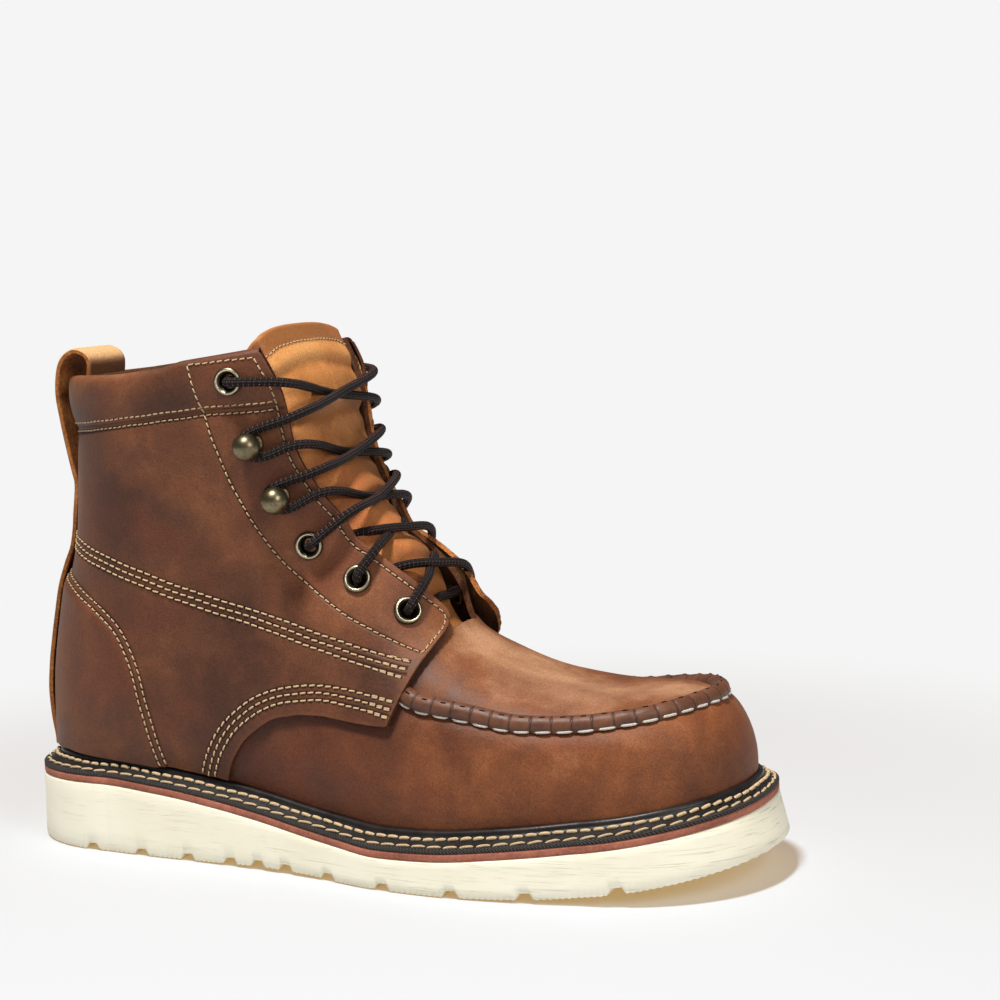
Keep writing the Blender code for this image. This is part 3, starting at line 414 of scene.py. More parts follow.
def read_grid(grid, u, t):
    """Values of a widened grid at (u, t), smooth across its nodes."""
    a = np.clip(u / COLLAR, 0, 1) * (len(GRID_U) - 1)
    b = np.clip(t, 0, 1) * (len(GRID_T) - 1)
    i = np.clip(a.astype(int), 0, len(GRID_U) - 2)
    j = np.clip(b.astype(int), 0, len(GRID_T) - 2)
    total = np.zeros(a.shape + (3,))
    for k, across_u in enumerate(cubic_weights(a - i)):
        for m, across_t in enumerate(cubic_weights(b - j)):
            total += grid[i + k + PAD - 1, j + m + PAD - 1] * (across_u * across_t)[..., None]
    return total


def read_sides(grids, u, side, t):
    u, side, t = np.broadcast_arrays(np.asarray(u, float), side, np.asarray(t, float))
    lateral = read_grid(grids[LATERAL], u, t)
    medial = read_grid(grids[MEDIAL], u, t)
    return np.where((side == LATERAL)[..., None], lateral, medial)


def on_last(u, side, t):
    """Points of the last at (u, t)."""
    return read_sides(WIDE, u, side, t)


def out_of_last(u, side, t):
    """Unit normals of the last at (u, t), pointing away from the foot."""
    return unit(read_sides(WIDE_OUT, u, side, t))


def welt_top(x):
    return sole_top(x) + MIDSOLE + WELT + WELT_BEAD


def first_crossing(values):
    """t where values over GRID_T first turn negative, or 1."""
    below = np.nonzero(values < 0)[0]
    if len(below) == 0:
        return 1.0
    k = below[0]
    part = values[k - 1] / (values[k - 1] - values[k]) if k else 0.0
    return float(GRID_T[k - 1] + part * (GRID_T[k] - GRID_T[k - 1])) if k else 0.0


def line_tables(side):
    """t of the laced edge, the panels' lower end and the counter's edge, and the sections' length."""
    tables = {"edge": [], "end": [], "counter": [], "length": []}
    for u, row in zip(GRID_U, LAST[side]):
        half = np.abs(row[:, 1] - centre(row[:, 0]))
        over = int(np.argmax(half)) + 1
        tables["edge"].append(np.interp(along(OPENING, max(u, THROAT)), half[:over], GRID_T[:over]))
        tables["end"].append(first_crossing(row[:, 2] - welt_top(row[:, 0]) - PANEL_CLEAR))
        tables["counter"].append(first_crossing(row[:, 0] - along(COUNTER_EDGE, row[:, 2])))
        tables["length"].append(walk(row)[-1])
    return {name: np.array(values, float) for name, values in tables.items()}


LINES = {side: line_tables(side) for side in SIDES}


def line(name, u, side):
    u, side = np.broadcast_arrays(np.asarray(u, float), side)
    lateral = np.interp(u, GRID_U, LINES[LATERAL][name])
    medial = np.interp(u, GRID_U, LINES[MEDIAL][name])
    return np.where(side == LATERAL, lateral, medial)


def edge_t(u, side):
    return line("edge", np.maximum(u, THROAT), side)


def seen(side, path):
    """u and t of the places on one side that stand at the (x, z) points of a path in the side view."""
    flat = LAST[side].reshape(-1, 3)[:, [0, 2]]
    grid_u, grid_t = np.meshgrid(GRID_U, GRID_T, indexing="ij")
    fits = (grid_t.ravel() > 0.12) & (grid_u.ravel() > 1)
    flat = flat[fits]
    start = [int(np.argmin(((flat - spot) ** 2).sum(1))) for spot in path]
    u = grid_u.ravel()[fits][start]
    t = grid_t.ravel()[fits][start]
    small = 0.01
    for _ in range(8):
        miss = path - on_last(u, side, t)[:, [0, 2]]
        by_u = (on_last(u + small, side, t) - on_last(u - small, side, t))[:, [0, 2]] / (2 * small)
        by_t = (on_last(u, side, t + small) - on_last(u, side, t - small))[:, [0, 2]] / (2 * small)
        size = by_u[:, 0] * by_t[:, 1] - by_u[:, 1] * by_t[:, 0]
        size = np.where(np.abs(size) < 1.0, np.where(size < 0, -1.0, 1.0), size)
        step_u = (miss[:, 0] * by_t[:, 1] - miss[:, 1] * by_t[:, 0]) / size
        step_t = (by_u[:, 0] * miss[:, 1] - by_u[:, 1] * miss[:, 0]) / size
        u = np.clip(u + np.clip(step_u, -0.3, 0.3), 0, COLLAR)
        t = np.clip(t + np.clip(step_t, -0.05, 0.05), 0.02, 1)
    return u, t


def beside(path, distance):
    """A side view path moved to its right by a distance."""
    way = unit(np.gradient(path, axis=0))
    return path + distance * np.stack([way[:, 1], -way[:, 0]], 1)


# Meshes
PUNCH = 4.1
PUNCH_REACH = 8.0


def eyelet_axes(side):
    """Places and axes of the eyelets on one side, where the leather is punched."""
    return [(on_last(u, side, t), out_of_last(u, side, t)) for kind, u, t in FITTINGS if kind == "eyelet"]


class Pieces:
    """Collects grids of points into one mesh. Fields are values at the points that the materials read."""

    def __init__(self):
        self.points = []
        self.faces = []
        self.slots = []
        self.fields = []
        self.maps = []
        self.count = 0

    def add(self, points, faces, slot=0, fields=None, uv=None):
        points = np.asarray(points, float).reshape(-1, 3)
        faces = np.asarray(faces)
        self.points.append(points)
        self.faces.append(faces + self.count)
        self.slots.append(np.full(len(faces), slot))
        self.fields.append({name: np.ravel(value) for name, value in (fields or {}).items()})
        uv = np.zeros((len(points), 2)) if uv is None else np.asarray(uv, float)
        self.maps.append(uv.reshape(-1, 2))
        self.count += len(points)

    def grid(self, points, slot=0, fields=None, uv=None, out=None, wrap=False, punched=()):
        """Quads over a grid of points, turned so that they face along out where that is given."""
        rows, columns = points.shape[:2]
        faces = quads(rows, columns, wrap)
        if out is not None:
            flat = points.reshape(-1, 3)
            middle = faces[len(faces) // 2 - columns // 3]
            facing = np.cross(flat[middle[2]] - flat[middle[0]], flat[middle[3]] - flat[middle[1]])
            if np.dot(facing, out.reshape(-1, 3)[middle[0]]) < 0:
                faces = faces[:, ::-1]
        middles = points.reshape(-1, 3)[faces].mean(1)
        for place, axis in punched:
            off = middles - place
            ahead = off @ axis
            aside = np.linalg.norm(off - ahead[:, None] * axis, axis=1)
            keep = (aside > PUNCH) | (np.abs(ahead) > PUNCH_REACH)
            faces = faces[keep]
            middles = middles[keep]
        self.add(points, faces, slot, fields, uv)

    def make(self, name, materials, stands_for=(), finish=None, weld=False):
        mesh = bpy.data.meshes.new(name)
        points = (np.concatenate(self.points) - ORIGIN) * MM
        faces = np.concatenate(self.faces)
        mesh.vertices.add(len(points))
        mesh.vertices.foreach_set("co", points.astype(np.float32).ravel())
        mesh.loops.add(faces.size)
        mesh.loops.foreach_set("vertex_index", faces.astype(np.int32).ravel())
        mesh.polygons.add(len(faces))
        mesh.polygons.foreach_set("loop_start", np.arange(0, faces.size, 4, dtype=np.int32))
        mesh.polygons.foreach_set("material_index", np.concatenate(self.slots).astype(np.int32))
        mesh.update(calc_edges=True)
        layer = mesh.uv_layers.new(name="UVMap")
        layer.data.foreach_set("uv", np.concatenate(self.maps)[faces.ravel()].astype(np.float32).ravel())
        names = sorted({key for part in self.fields for key in part})
        for key in names:
            values = np.concatenate([
                part.get(key, np.zeros(len(own))) for part, own in zip(self.fields, self.points)])
            own = mesh.attributes.new(key, "FLOAT", "POINT")
            own.data.foreach_set("value", values.astype(np.float32))
        mesh.validate()
        if weld:
            shape = bmesh.new()
            shape.from_mesh(mesh)
            bmesh.ops.remove_doubles(shape, verts=shape.verts, dist=2e-6)
            shape.to_mesh(mesh)
            shape.free()
        mesh.shade_smooth()
        for own in materials:
            mesh.materials.append(own)
        thing = bpy.data.objects.new(name, mesh)
        bpy.context.scene.collection.objects.link(thing)
        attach(thing, "root")
        if stands_for:
            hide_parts(*stands_for)
        return thing


def quads(rows, columns, wrap=False):
    """Faces of a grid of points; wrap joins the last column to the first."""
    index = np.arange(rows * columns).reshape(rows, columns)
    right = np.roll(index, -1, axis=1)
    cut = columns if wrap else columns - 1
    corners = (index[:-1, :cut], right[:-1, :cut], right[1:, :cut], index[1:, :cut])
    return np.stack(corners, -1).reshape(-1, 4)


def nearest(points, targets):
    """Distance from each point to the nearest target, and which one it is."""
    points = points.reshape(-1, 3)
    far = np.empty(len(points))
    which = np.empty(len(points), int)
    for start in range(0, len(points), 2000):
        part = points[start:start + 2000]
        gap = ((part[:, None, :] - targets[None, :, :]) ** 2).sum(2)
        which[start:start + 2000] = gap.argmin(1)
        far[start:start + 2000] = np.sqrt(gap.min(1))
    return far, which


def border(points):
    """The four sides of a grid of points as one ring."""
    return np.concatenate([points[0, :-1], points[:-1, -1], points[-1, :0:-1], points[:0:-1, 0]])


ROW_MARK = 100.0
ROW_REACH = 14.0


def row_field(points, path, out):
    """How far each point is to the left of a row of stitching, plus a mark; far off beyond its ends."""
    way = unit(np.gradient(path, axis=0))
    aside = np.cross(out, way)
    _, which = nearest(points, path)
    offset = points.reshape(-1, 3) - path[which]
    value = ROW_MARK + np.clip((offset * aside[which]).sum(1), -ROW_REACH, ROW_REACH)
    ahead = (offset * way[which]).sum(1)
    past = ((which == len(path) - 1) & (ahead > 0.4)) | ((which == 0) & (ahead < -0.4))
    return np.where(past, ROW_MARK + 4 * ROW_REACH, value).reshape(points.shape[:-1])


def rounded(distance, radius, start):
    """Share of a panel's thickness at a distance from its cut edge."""
    inside = np.clip(distance / radius, 0, 1)
    return start + (1 - start) * np.sqrt(1 - (1 - inside) ** 2)


def drift(points, size, seed):
    """Soft swell of the leather, between about -1 and 1, that repeats nowhere on the boot."""
    x, y, z = (points[..., k] / size for k in range(3))
    first = np.sin(x * 1.7 + 1.3 * np.sin(z * 0.9 + seed) + seed)
    second = np.sin(z * 1.3 - 0.8 * x + 1.1 * np.sin(y * 1.2 + 2.1 * seed) + 2 * seed)
    third = np.sin(y * 1.6 + 0.7 * z + 0.9 * np.sin(x * 1.1 - seed) + 3 * seed)
    return (first + second + third) / 3


# Outline of the sole
def outline(reach_side, reach_end, count=361):
    """Closed plan curve outside the feather line, and the way out of it at each point."""
    turn = np.linspace(0, np.pi, count)
    x = (FEATHER_HEEL + FEATHER_TOE) / 2 - (FEATHER_TOE - FEATHER_HEEL) / 2 * np.cos(turn)
    lateral = np.stack([x, centre(x) - feather_half(x, LATERAL)], 1)
    medial = np.stack([x, centre(x) + feather_half(x, MEDIAL)], 1)
    loop = np.concatenate([lateral, medial[-2:0:-1]])
    ahead = np.roll(loop, -1, axis=0) - np.roll(loop, 1, axis=0)
    away = unit(np.stack([ahead[:, 1], -ahead[:, 0]], 1))
    reach = reach_end + (reach_side - reach_end) * away[:, 1] ** 2
    return loop + away * reach[:, None], away


class Plan:
    """Half outlines of a sole layer, as y over x."""

    def __init__(self, reach_side, reach_end, toe_extra=0.0, heel_extra=0.0):
        loop, away = outline(reach_side, reach_end)
        ahead = np.clip(away[:, 0], 0, 1) ** 2 * toe_extra + np.clip(-away[:, 0], 0, 1) ** 2 * heel_extra
        loop = loop + away * ahead[:, None]
        self.first = float(loop[:, 0].min())
        self.last = float(loop[:, 0].max())
        loop = np.roll(loop, -int(np.argmin(loop[:, 0])), axis=0)
        high = int(np.argmax(loop[:, 0]))
        self.lateral = loop[:high + 1]
        self.medial = np.concatenate([loop[high:], loop[:1]])[::-1]

    def y(self, x, side):
        half = self.lateral if side == LATERAL else self.medial
        return np.interp(x, half[:, 0], half[:, 1])


SOLE_PLAN = Plan(REACH_SIDE, REACH_END)
TREAD_PLAN = Plan(REACH_SIDE, REACH_END, FLARE_TOE, FLARE_HEEL)
BOX_X = (min(SOLE_PLAN.first, TREAD_PLAN.first), max(SOLE_PLAN.last, TREAD_PLAN.last))
BOX_Y = (float(TREAD_PLAN.lateral[:, 1].min()), float(TREAD_PLAN.medial[:, 1].max()))
ORIGIN = np.array([sum(BOX_X) / 2, sum(BOX_Y) / 2, 0.0])


# Materials
class Shade:
    """A material and short ways to add nodes to it."""

    def __init__(self, name, rough, metal=0.0, specular=0.5):
        self.own = bpy.data.materials.new(name)
        self.own.use_nodes = True
        self.tree = self.own.node_tree
        self.shader = self.tree.nodes["Principled BSDF"]
        self.shader.inputs["Roughness"].default_value = rough
        self.shader.inputs["Metallic"].default_value = metal
        self.shader.inputs["Specular IOR Level"].default_value = specular
        self.spot = self.node("TexCoord").outputs["Object"]

    def feed(self, socket, value):
        if isinstance(value, bpy.types.NodeSocket):
            self.tree.links.new(value, socket)
        else:
            socket.default_value = value

    def node(self, kind, inputs=None, **settings):
        made = self.tree.nodes.new("ShaderNode" + kind)
        for key, value in settings.items():
            setattr(made, key, value)
        for key, value in (inputs or {}).items():
            self.feed(made.inputs[key], value)
        return made

    def noise(self, scale, detail=2.0, rough=0.5, twist=0.0, spot=None):
        inputs = {"Vector": spot or self.spot, "Scale": scale, "Detail": detail, "Roughness": rough,
                  "Distortion": twist}
        return self.node("TexNoise", inputs).outputs["Fac"]

    def math(self, operation, first, second=0.0):
        return self.node("Math", {0: first, 1: second}, operation=operation).outputs[0]

    def times(self, value, factor):
        return self.math("MULTIPLY", value, factor)

    def blend(self, first, share, second, other):
        """Sum of two values, each times its share."""
        return self.math("ADD", self.times(first, share), self.times(second, other))

    def wave(self, value, length=1.0):
        """Sine that repeats each time the value grows by a length."""
        return self.math("SINE", self.times(value, 2 * math.pi / length))

    def map_axes(self):
        """Both values of the piece's own map."""
        place = self.node("SeparateXYZ", {"Vector": self.node("UVMap", uv_map="UVMap").outputs["UV"]})
        return place.outputs["X"], place.outputs["Y"]

    def moved(self, **settings):
        """The place on the boot, moved or stretched."""
        inputs = {"Vector": self.spot, **settings}
        return self.node("Mapping", inputs).outputs["Vector"]

    def span(self, value, low, high, to_low=0.0, to_high=1.0):
        inputs = {"Value": value, "From Min": low, "From Max": high, "To Min": to_low, "To Max": to_high}
        return self.node("MapRange", inputs).outputs["Result"]

    def field(self, name):
        return self.node("Attribute", attribute_name=name).outputs["Fac"]

    def ramp(self, value, stops):
        made = self.node("ValToRGB", {"Fac": value})
        elements = made.color_ramp.elements
        while len(elements) < len(stops):
            elements.new(0.5)
        for element, (place, colour) in zip(elements, stops):
            element.position = place
            element.color = (*colour, 1.0)
        return made.outputs["Color"]

    def mix(self, share, first, second, blend="MIX"):
        made = self.node("Mix", data_type="RGBA", blend_type=blend)
        for index, value in ((0, share), (6, first), (7, second)):
            plain = isinstance(value, tuple)
            self.feed(made.inputs[index], (*value, 1.0) if plain else value)
        return made.outputs[2]

    def colour(self, value):
        self.feed(self.shader.inputs["Base Color"], value)

    def rough(self, value):
        self.feed(self.shader.inputs["Roughness"], value)

    def relief(self, height):
        """Bump whose height is in millimetres."""
        made = self.node("Bump", {"Height": height, "Strength": 1.0, "Distance": MM})
        self.feed(self.shader.inputs["Normal"], made.outputs["Normal"])


GROOVE_WIDTH = 0.55
# Step of the welt's tool marks in millimetres, and of the sock's weave in metres
MARK_STEP = 1.25
WEAVE = 0.0011
# Fields of the rows of stitching: name, number of rows, step between them
ROW_FIELDS = (
    ("rows_a", 3, ROW_STEP),
    ("rows_b", 3, ROW_STEP),
    ("rows_c", 1, 1.0),
    ("rows_d", 2, PAIR_STEP),
    ("rows_e", 1, 1.0),
)


def grooves(shade):
    """1 along the rows of stitching and 0 away from them."""
    total = None
    for name, count, step in ROW_FIELDS:
        aside = shade.math("SUBTRACT", shade.field(name), ROW_MARK)
        index = shade.math("DIVIDE", aside, -step)
        held = shade.math("MINIMUM", shade.math("MAXIMUM", index, 0.0), count - 1.0)
        miss = shade.math("SUBTRACT", index, shade.math("ROUND", held))
        scaled = shade.times(miss, step / GROOVE_WIDTH)
        square = shade.times(scaled, scaled)
        bell = shade.math("EXPONENT", shade.times(square, -1.0))
        total = bell if total is None else shade.math("MAXIMUM", total, bell)
    return total


TONE_SHIFT = 0.30


def leather(name, dark, middle, light, pale, rough=0.56):
    """Oiled leather: cloudy colour, fine grain, painted shade along the stitching and lighter where the
    edges are rubbed.
    """
    shade = Shade(name, rough, specular=0.27)
    patches = shade.noise(14.0, 3.0, 0.55, 0.8)
    mottle = shade.noise(62.0, 6.0, 0.62, 0.4)
    cloud = shade.blend(patches, 0.50, mottle, 0.50)
    soft = shade.span(cloud, 0.0, 1.0, 0.07, 0.93)
    # the tone field moves the colour paler or darker: the leather's own tone, and painted light and shade
    # where the pieces put it
    place = shade.math("ADD", soft, shade.times(shade.field("tone"), TONE_SHIFT))
    colour = shade.ramp(place, ((0.34, dark), (0.50, middle), (0.63, light), (0.84, pale)))
    warm = shade.noise(24.0, 2.0, 0.5, 0.5, shade.moved(Location=(3.1, 1.7, 0.4)))
    red = shade.span(warm, 0.52, 0.68, 0.0, 0.42)
    colour = shade.mix(red, colour, tuple(v * k for v, k in zip(middle, (1.02, 0.74, 0.86))))
    # amber tint where the warm field is set, below the toe seam: painted warm light bounced up from the
    # sole
    amber = shade.mix(1.0, colour, (1.06, 0.95, 0.82), "MULTIPLY")
    colour = shade.mix(shade.field("warm"), colour, amber)
    fleck = shade.noise(1900.0, 2.0, 0.6)
    speckle = shade.span(fleck, 0.3, 0.7, 0.70, 1.25)
    grey = shade.node("CombineColor", {0: speckle, 1: speckle, 2: speckle}).outputs["Color"]
    colour = shade.mix(1.0, colour, grey, "MULTIPLY")
    groove = grooves(shade)
    # painted shade: darker along the stitch grooves, where shade falls in the channels
    colour = shade.mix(shade.times(groove, 0.62), colour, tuple(v * 0.35 for v in dark))
    # on the leather this field only marks rubbed edges; the paler colour there is the leather's own
    wear_and_glint_share = shade.times(shade.field("wear"), shade.span(mottle, 0.35, 0.6, 0.35, 1.0))
    colour = shade.mix(shade.times(wear_and_glint_share, 0.45), colour, light)
    shade.colour(colour)
    shade.rough(shade.span(mottle, 0.3, 0.7, rough - 0.07, rough + 0.09))
    grain = shade.times(fleck, 0.05)
    pebble = shade.times(shade.noise(420.0, 3.0, 0.55), 0.11)
    pores = shade.node("TexVoronoi", {"Vector": shade.spot, "Scale": 780.0}).outputs["Distance"]
    skin = shade.math("ADD", shade.math("ADD", grain, pebble), shade.times(pores, 0.05))
    shade.relief(shade.math("SUBTRACT", skin, shade.times(groove, 0.5)))
    for name, value in (("Weight", 0.03), ("Roughness", 0.5), ("Tint", (0.9, 0.6, 0.35, 1.0))):
        shade.feed(shade.shader.inputs["Sheen " + name], value)
    return shade.own


def suede(name, dark, light):
    """Cut edge or flesh side of the leather: fibrous and dull."""
    shade = Shade(name, 0.9, specular=0.15)
    fibre = shade.noise(900.0, 4.0, 0.7)
    patch = shade.noise(160.0, 3.0, 0.6)
    blend = shade.blend(fibre, 0.6, patch, 0.4)
    shade.colour(shade.ramp(blend, ((0.36, dark), (0.64, light))))
    shade.relief(shade.times(fibre, 0.25))
    return shade.own


def seam_leather(name, dark, light):
    """Rolled toe seam: dark leather, painted near black at each pucker as the shade in its crease."""
    shade = Shade(name, 0.5, specular=0.4)
    patch = shade.noise(120.0, 4.0, 0.6, 0.3)
    colour = shade.ramp(patch, ((0.35, dark), (0.68, light)))
    cut = shade.field("pucker")
    # painted shade: near black in the crease at each pucker
    colour = shade.mix(shade.times(cut, 0.88), colour, (0.010, 0.008, 0.008))
    shade.colour(colour)
    grain = shade.times(shade.noise(1100.0, 2.0, 0.6), 0.06)
    shade.relief(shade.math("ADD", grain, shade.times(shade.noise(300.0, 3.0, 0.5), 0.08)))
    shade.rough(shade.span(patch, 0.3, 0.7, 0.42, 0.58))
    return shade.own


def rubber_sole(name):
    """Cream foamed rubber with fine scuff lines along it."""
    shade = Shade(name, 0.62, specular=0.35)
    patch = shade.noise(38.0, 3.0, 0.5)
    colour = shade.ramp(patch, ((0.3, (0.90, 0.85, 0.67)), (0.7, (0.95, 0.91, 0.75))))
    scuff = shade.noise(2300.0, 3.0, 0.65, 0.0, shade.moved(Scale=(0.022, 0.022, 1.0)))
    place = shade.node("SeparateXYZ", {"Vector": shade.spot})
    toe = shade.span(place.outputs["X"], 0.03, 0.13, 0.40, 1.0)
    line_share = shade.times(shade.span(scuff, 0.56, 0.72, 0.0, 0.42), toe)
    colour = shade.mix(line_share, colour, (0.42, 0.33, 0.20))
    # darker towards the bottom, in patches
    low = shade.span(place.outputs["Z"], 0.0, 0.004, 0.3, 0.0)
    darker_band = shade.times(low, shade.span(patch, 0.3, 0.6, 0.3, 1.0))
    colour = shade.mix(darker_band, colour, (0.50, 0.42, 0.28))
    shade.colour(colour)
    pits = shade.times(shade.noise(1300.0, 2.0, 0.6), 0.05)
    shade.relief(shade.math("SUBTRACT", pits, shade.times(shade.span(scuff, 0.6, 0.75), 0.12)))
    return shade.own


def midsole_sheet(name):
    """Reddish brown sheet with a buffed, slightly fuzzy edge."""
    shade = Shade(name, 0.8, specular=0.25)
    patch = shade.noise(60.0, 4.0, 0.65)
    fibre = shade.noise(800.0, 3.0, 0.6)
    blend = shade.blend(patch, 0.6, fibre, 0.4)
    shade.colour(shade.ramp(blend, ((0.34, (0.22, 0.070, 0.046)), (0.66, (0.48, 0.175, 0.110)))))
    shade.relief(shade.times(fibre, 0.16))
    return shade.own


def welt_strip(name):
    """Black welt, half matt, with slanting tool marks on its outer part, their ridges painted paler as
    highlight.
    """
    shade = Shade(name, 0.42, specular=0.32)
    patch = shade.noise(110.0, 3.0, 0.6)
    ahead, across = shade.map_axes()
    marked = shade.field("marked")
    wave = shade.wave(shade.math("ADD", ahead, shade.times(across, 0.9)), MARK_STEP)
    ridge = shade.times(shade.times(wave, marked), 0.16)
    colour = shade.ramp(patch, ((0.3, (0.007, 0.006, 0.006)), (0.75, (0.022, 0.019, 0.018))))
    # painted highlight: the tool marks' ridges are painted paler along the same wave that raises them
    light = shade.times(shade.span(wave, 0.0, 1.0, 0.0, 0.8), marked)
    colour = shade.mix(light, colour, (0.090, 0.076, 0.068))
    shade.colour(colour)
    shade.rough(shade.span(shade.math("ADD", marked, shade.times(patch, 0.4)), 0.0, 1.4, 0.30, 0.72))
    grain = shade.times(shade.noise(700.0, 3.0, 0.6), 0.07)
    shade.relief(shade.math("ADD", ridge, grain))
    return shade.own


def thread(name, colour, shadow):
    """Twisted sewing thread."""
    shade = Shade(name, 0.7, specular=0.3)
    ahead, around = shade.map_axes()
    wave = shade.wave(shade.math("ADD", shade.times(ahead, 2.0), around))
    shade.colour(shade.mix(shade.span(wave, -1.0, 1.0, 0.0, 1.0), shadow, colour))
    shade.relief(shade.times(wave, 0.06))
    return shade.own


def braid(name):
    """Round braided lace, dark with thin reddish flecks."""
    shade = Shade(name, 0.6, specular=0.22)
    turn, done = shade.map_axes()
    around = shade.times(turn, 5.0)
    ahead = shade.times(done, 0.55)
    left = shade.wave(shade.math("ADD", around, ahead))
    right = shade.wave(shade.math("SUBTRACT", around, ahead))
    weave = shade.times(left, right)
    # painted shade: darker in the weave's hollows and paler on its crests, following its relief
    colour = shade.mix(shade.span(weave, -0.7, 0.8), (0.002, 0.0015, 0.0015), (0.018, 0.013, 0.012))
    fleck = shade.wave(shade.blend(around, 0.2, ahead, 1.0))
    shown = shade.times(shade.span(fleck, 0.70, 0.90), shade.span(weave, 0.0, 0.35))
    colour = shade.mix(shade.times(shown, 0.85), colour, (0.26, 0.105, 0.085))
    shade.colour(colour)
    shade.relief(shade.times(weave, 0.30))
    return shade.own


def old_brass(name, tone):
    """Antique brass: dark in patches, and bright where the field marks it: partly polished by use, partly
    painted highlight on the eyelets' rims.
    """
    shade = Shade(name, 0.34, metal=1.0)
    patch = shade.noise(330.0, 4.0, 0.65)
    speck = shade.noise(1500.0, 3.0, 0.6)
    blend = shade.blend(patch, 0.6, speck, 0.4)
    stops = ((0.3, (0.13, 0.10, 0.055)), (0.55, (0.33, 0.27, 0.16)), (0.75, (0.46, 0.39, 0.25)))
    colour = shade.ramp(blend, [(place, tuple(tone * v for v in colour)) for place, colour in stops])
    # paler brass where the field is set: partly polish, partly painted highlight
    bright = shade.times(shade.field("wear"), shade.span(patch, 0.3, 0.6, 0.7, 1.0))
    shade.colour(shade.mix(bright, colour, (0.88, 0.78, 0.55)))
    shade.rough(shade.span(blend, 0.3, 0.7, 0.44, 0.27))
    shade.relief(shade.times(speck, 0.02))
    return shade.own


def fabric(name, dark, light):
    """Woven sock lining."""
    shade = Shade(name, 0.9, specular=0.2)
    place = shade.node("SeparateXYZ", {"Vector": shade.spot})
    warp = shade.wave(place.outputs["X"], WEAVE)
    weft = shade.wave(place.outputs["Y"], WEAVE)
    weave = shade.times(warp, weft)
    patch = shade.noise(45.0, 3.0, 0.6)
    # painted shade: darker where the weave's relief is low, paler on its crests
    colour = shade.mix(shade.span(weave, -1.0, 1.0), dark, light)
    shade.colour(shade.mix(shade.span(patch, 0.4, 0.75, 0.0, 0.35), colour, dark))
    shade.relief(shade.times(weave, 0.12))
    return shade.own


# the palest stop is what the painted highlight on the vamp's top reaches
LEATHER = leather(
    "boot_leather", (0.065, 0.023, 0.012), (0.126, 0.043, 0.019), (0.216, 0.076, 0.029),
    (0.430, 0.222, 0.120))
# its palest stop is what the painted highlight on the loop's top reaches
STRIP_LEATHER = leather(
    "strip_leather", (0.110, 0.045, 0.021), (0.205, 0.084, 0.036), (0.350, 0.170, 0.075),
    (0.700, 0.410, 0.195))
# much paler copy of the boot leather, brightened as painted light for the light falling on the tongue's
# front
LIT_TONGUE_LEATHER = leather(
    "tongue_leather", (0.300, 0.110, 0.031), (0.550, 0.218, 0.060), (0.660, 0.300, 0.094),
    (0.740, 0.385, 0.150), 0.6)
LINING = leather(
    "lining_leather", (0.090, 0.045, 0.024), (0.150, 0.075, 0.036), (0.210, 0.105, 0.050),
    (0.260, 0.140, 0.070), 0.75)
# cut edge: dark brown, darkened further as painted shade
SHADED_RAW_EDGE = suede("raw_edge_painted_shade", (0.030, 0.011, 0.006), (0.135, 0.047, 0.017))
FLESH = suede("flesh_side", (0.150, 0.046, 0.014), (0.500, 0.190, 0.052))
SEAM = seam_leather("seam_leather", (0.086, 0.031, 0.016), (0.175, 0.064, 0.029))
OUTSOLE = rubber_sole("outsole_rubber")
MIDSOLE_SHEET = midsole_sheet("midsole_sheet")
WELT_BLACK = welt_strip("welt_black")
CREAM_THREAD = thread("cream_thread", (0.98, 0.74, 0.45), (0.74, 0.49, 0.26))
WELT_THREAD = thread("welt_thread", (0.86, 0.66, 0.41), (0.52, 0.36, 0.20))
WHITE_THREAD = thread("white_thread", (0.88, 0.85, 0.78), (0.55, 0.50, 0.43))
# dark thread for the toe seam's dashes and for the painted shade at the needle holes
DARK_DASH_AND_HOLE_SHADE = thread("dark_dashes_and_hole_shade", (0.030, 0.017, 0.012), (0.010, 0.006, 0.005))
BRAID = braid("lace_braid")
BRASS = old_brass("old_brass", 0.64)
DARK_BRASS = old_brass("dark_brass", 0.40)
SOCK = fabric("sock_fabric", (0.20, 0.13, 0.075), (0.42, 0.30, 0.19))


# Leather on the last
EDGE_STEPS = (0, 0.15, 0.35, 0.6, 0.95, 1.4, 2.0, 2.8, 3.8, 5.0)
# Points along and across a quarter, its length and the length of its front rim
PANEL_COUNT = 120
PANEL_LENGTH = 170.0
RIM_COUNT = 1201
RIM_LENGTH = 180.0
RIM_STEP = 0.7
SETTLE_ROUNDS = 80
# How far the quarters go under the collar band, as a step of u
COLLAR_LAP = 0.06
# Soft creases in the side view: from x, z to x, z, half width, depth
CREASES = (
    ((66, 134), (114, 118), 7.0, 0.7),
    ((58, 152), (106, 142), 8.0, 0.5),
    ((122, 90), (160, 78), 6.0, 0.35),
    ((176, 62), (206, 40), 7.0, 0.5),
    ((196, 60), (222, 38), 8.0, 0.35),
)


def creased(points):
    """Rise and fall of the leather: a slow drift, and soft troughs with a swell above each."""
    total = 0.2 * drift(points, 17.0, 0.7)
    for (x0, z0), (x1, z1), width, depth in CREASES:
        length = math.hypot(x1 - x0, z1 - z0)
        way_x = (x1 - x0) / length
        way_z = (z1 - z0) / length
        ahead = (points[..., 0] - x0) * way_x + (points[..., 2] - z0) * way_z
        aside = (points[..., 2] - z0) * way_x - (points[..., 0] - x0) * way_z
        fade = ease(ahead / (0.35 * length)) * ease((length - ahead) / (0.35 * length))
        total += fade * depth * (0.55 * bump(aside - 1.3 * width, width) - bump(aside, width))
    return total


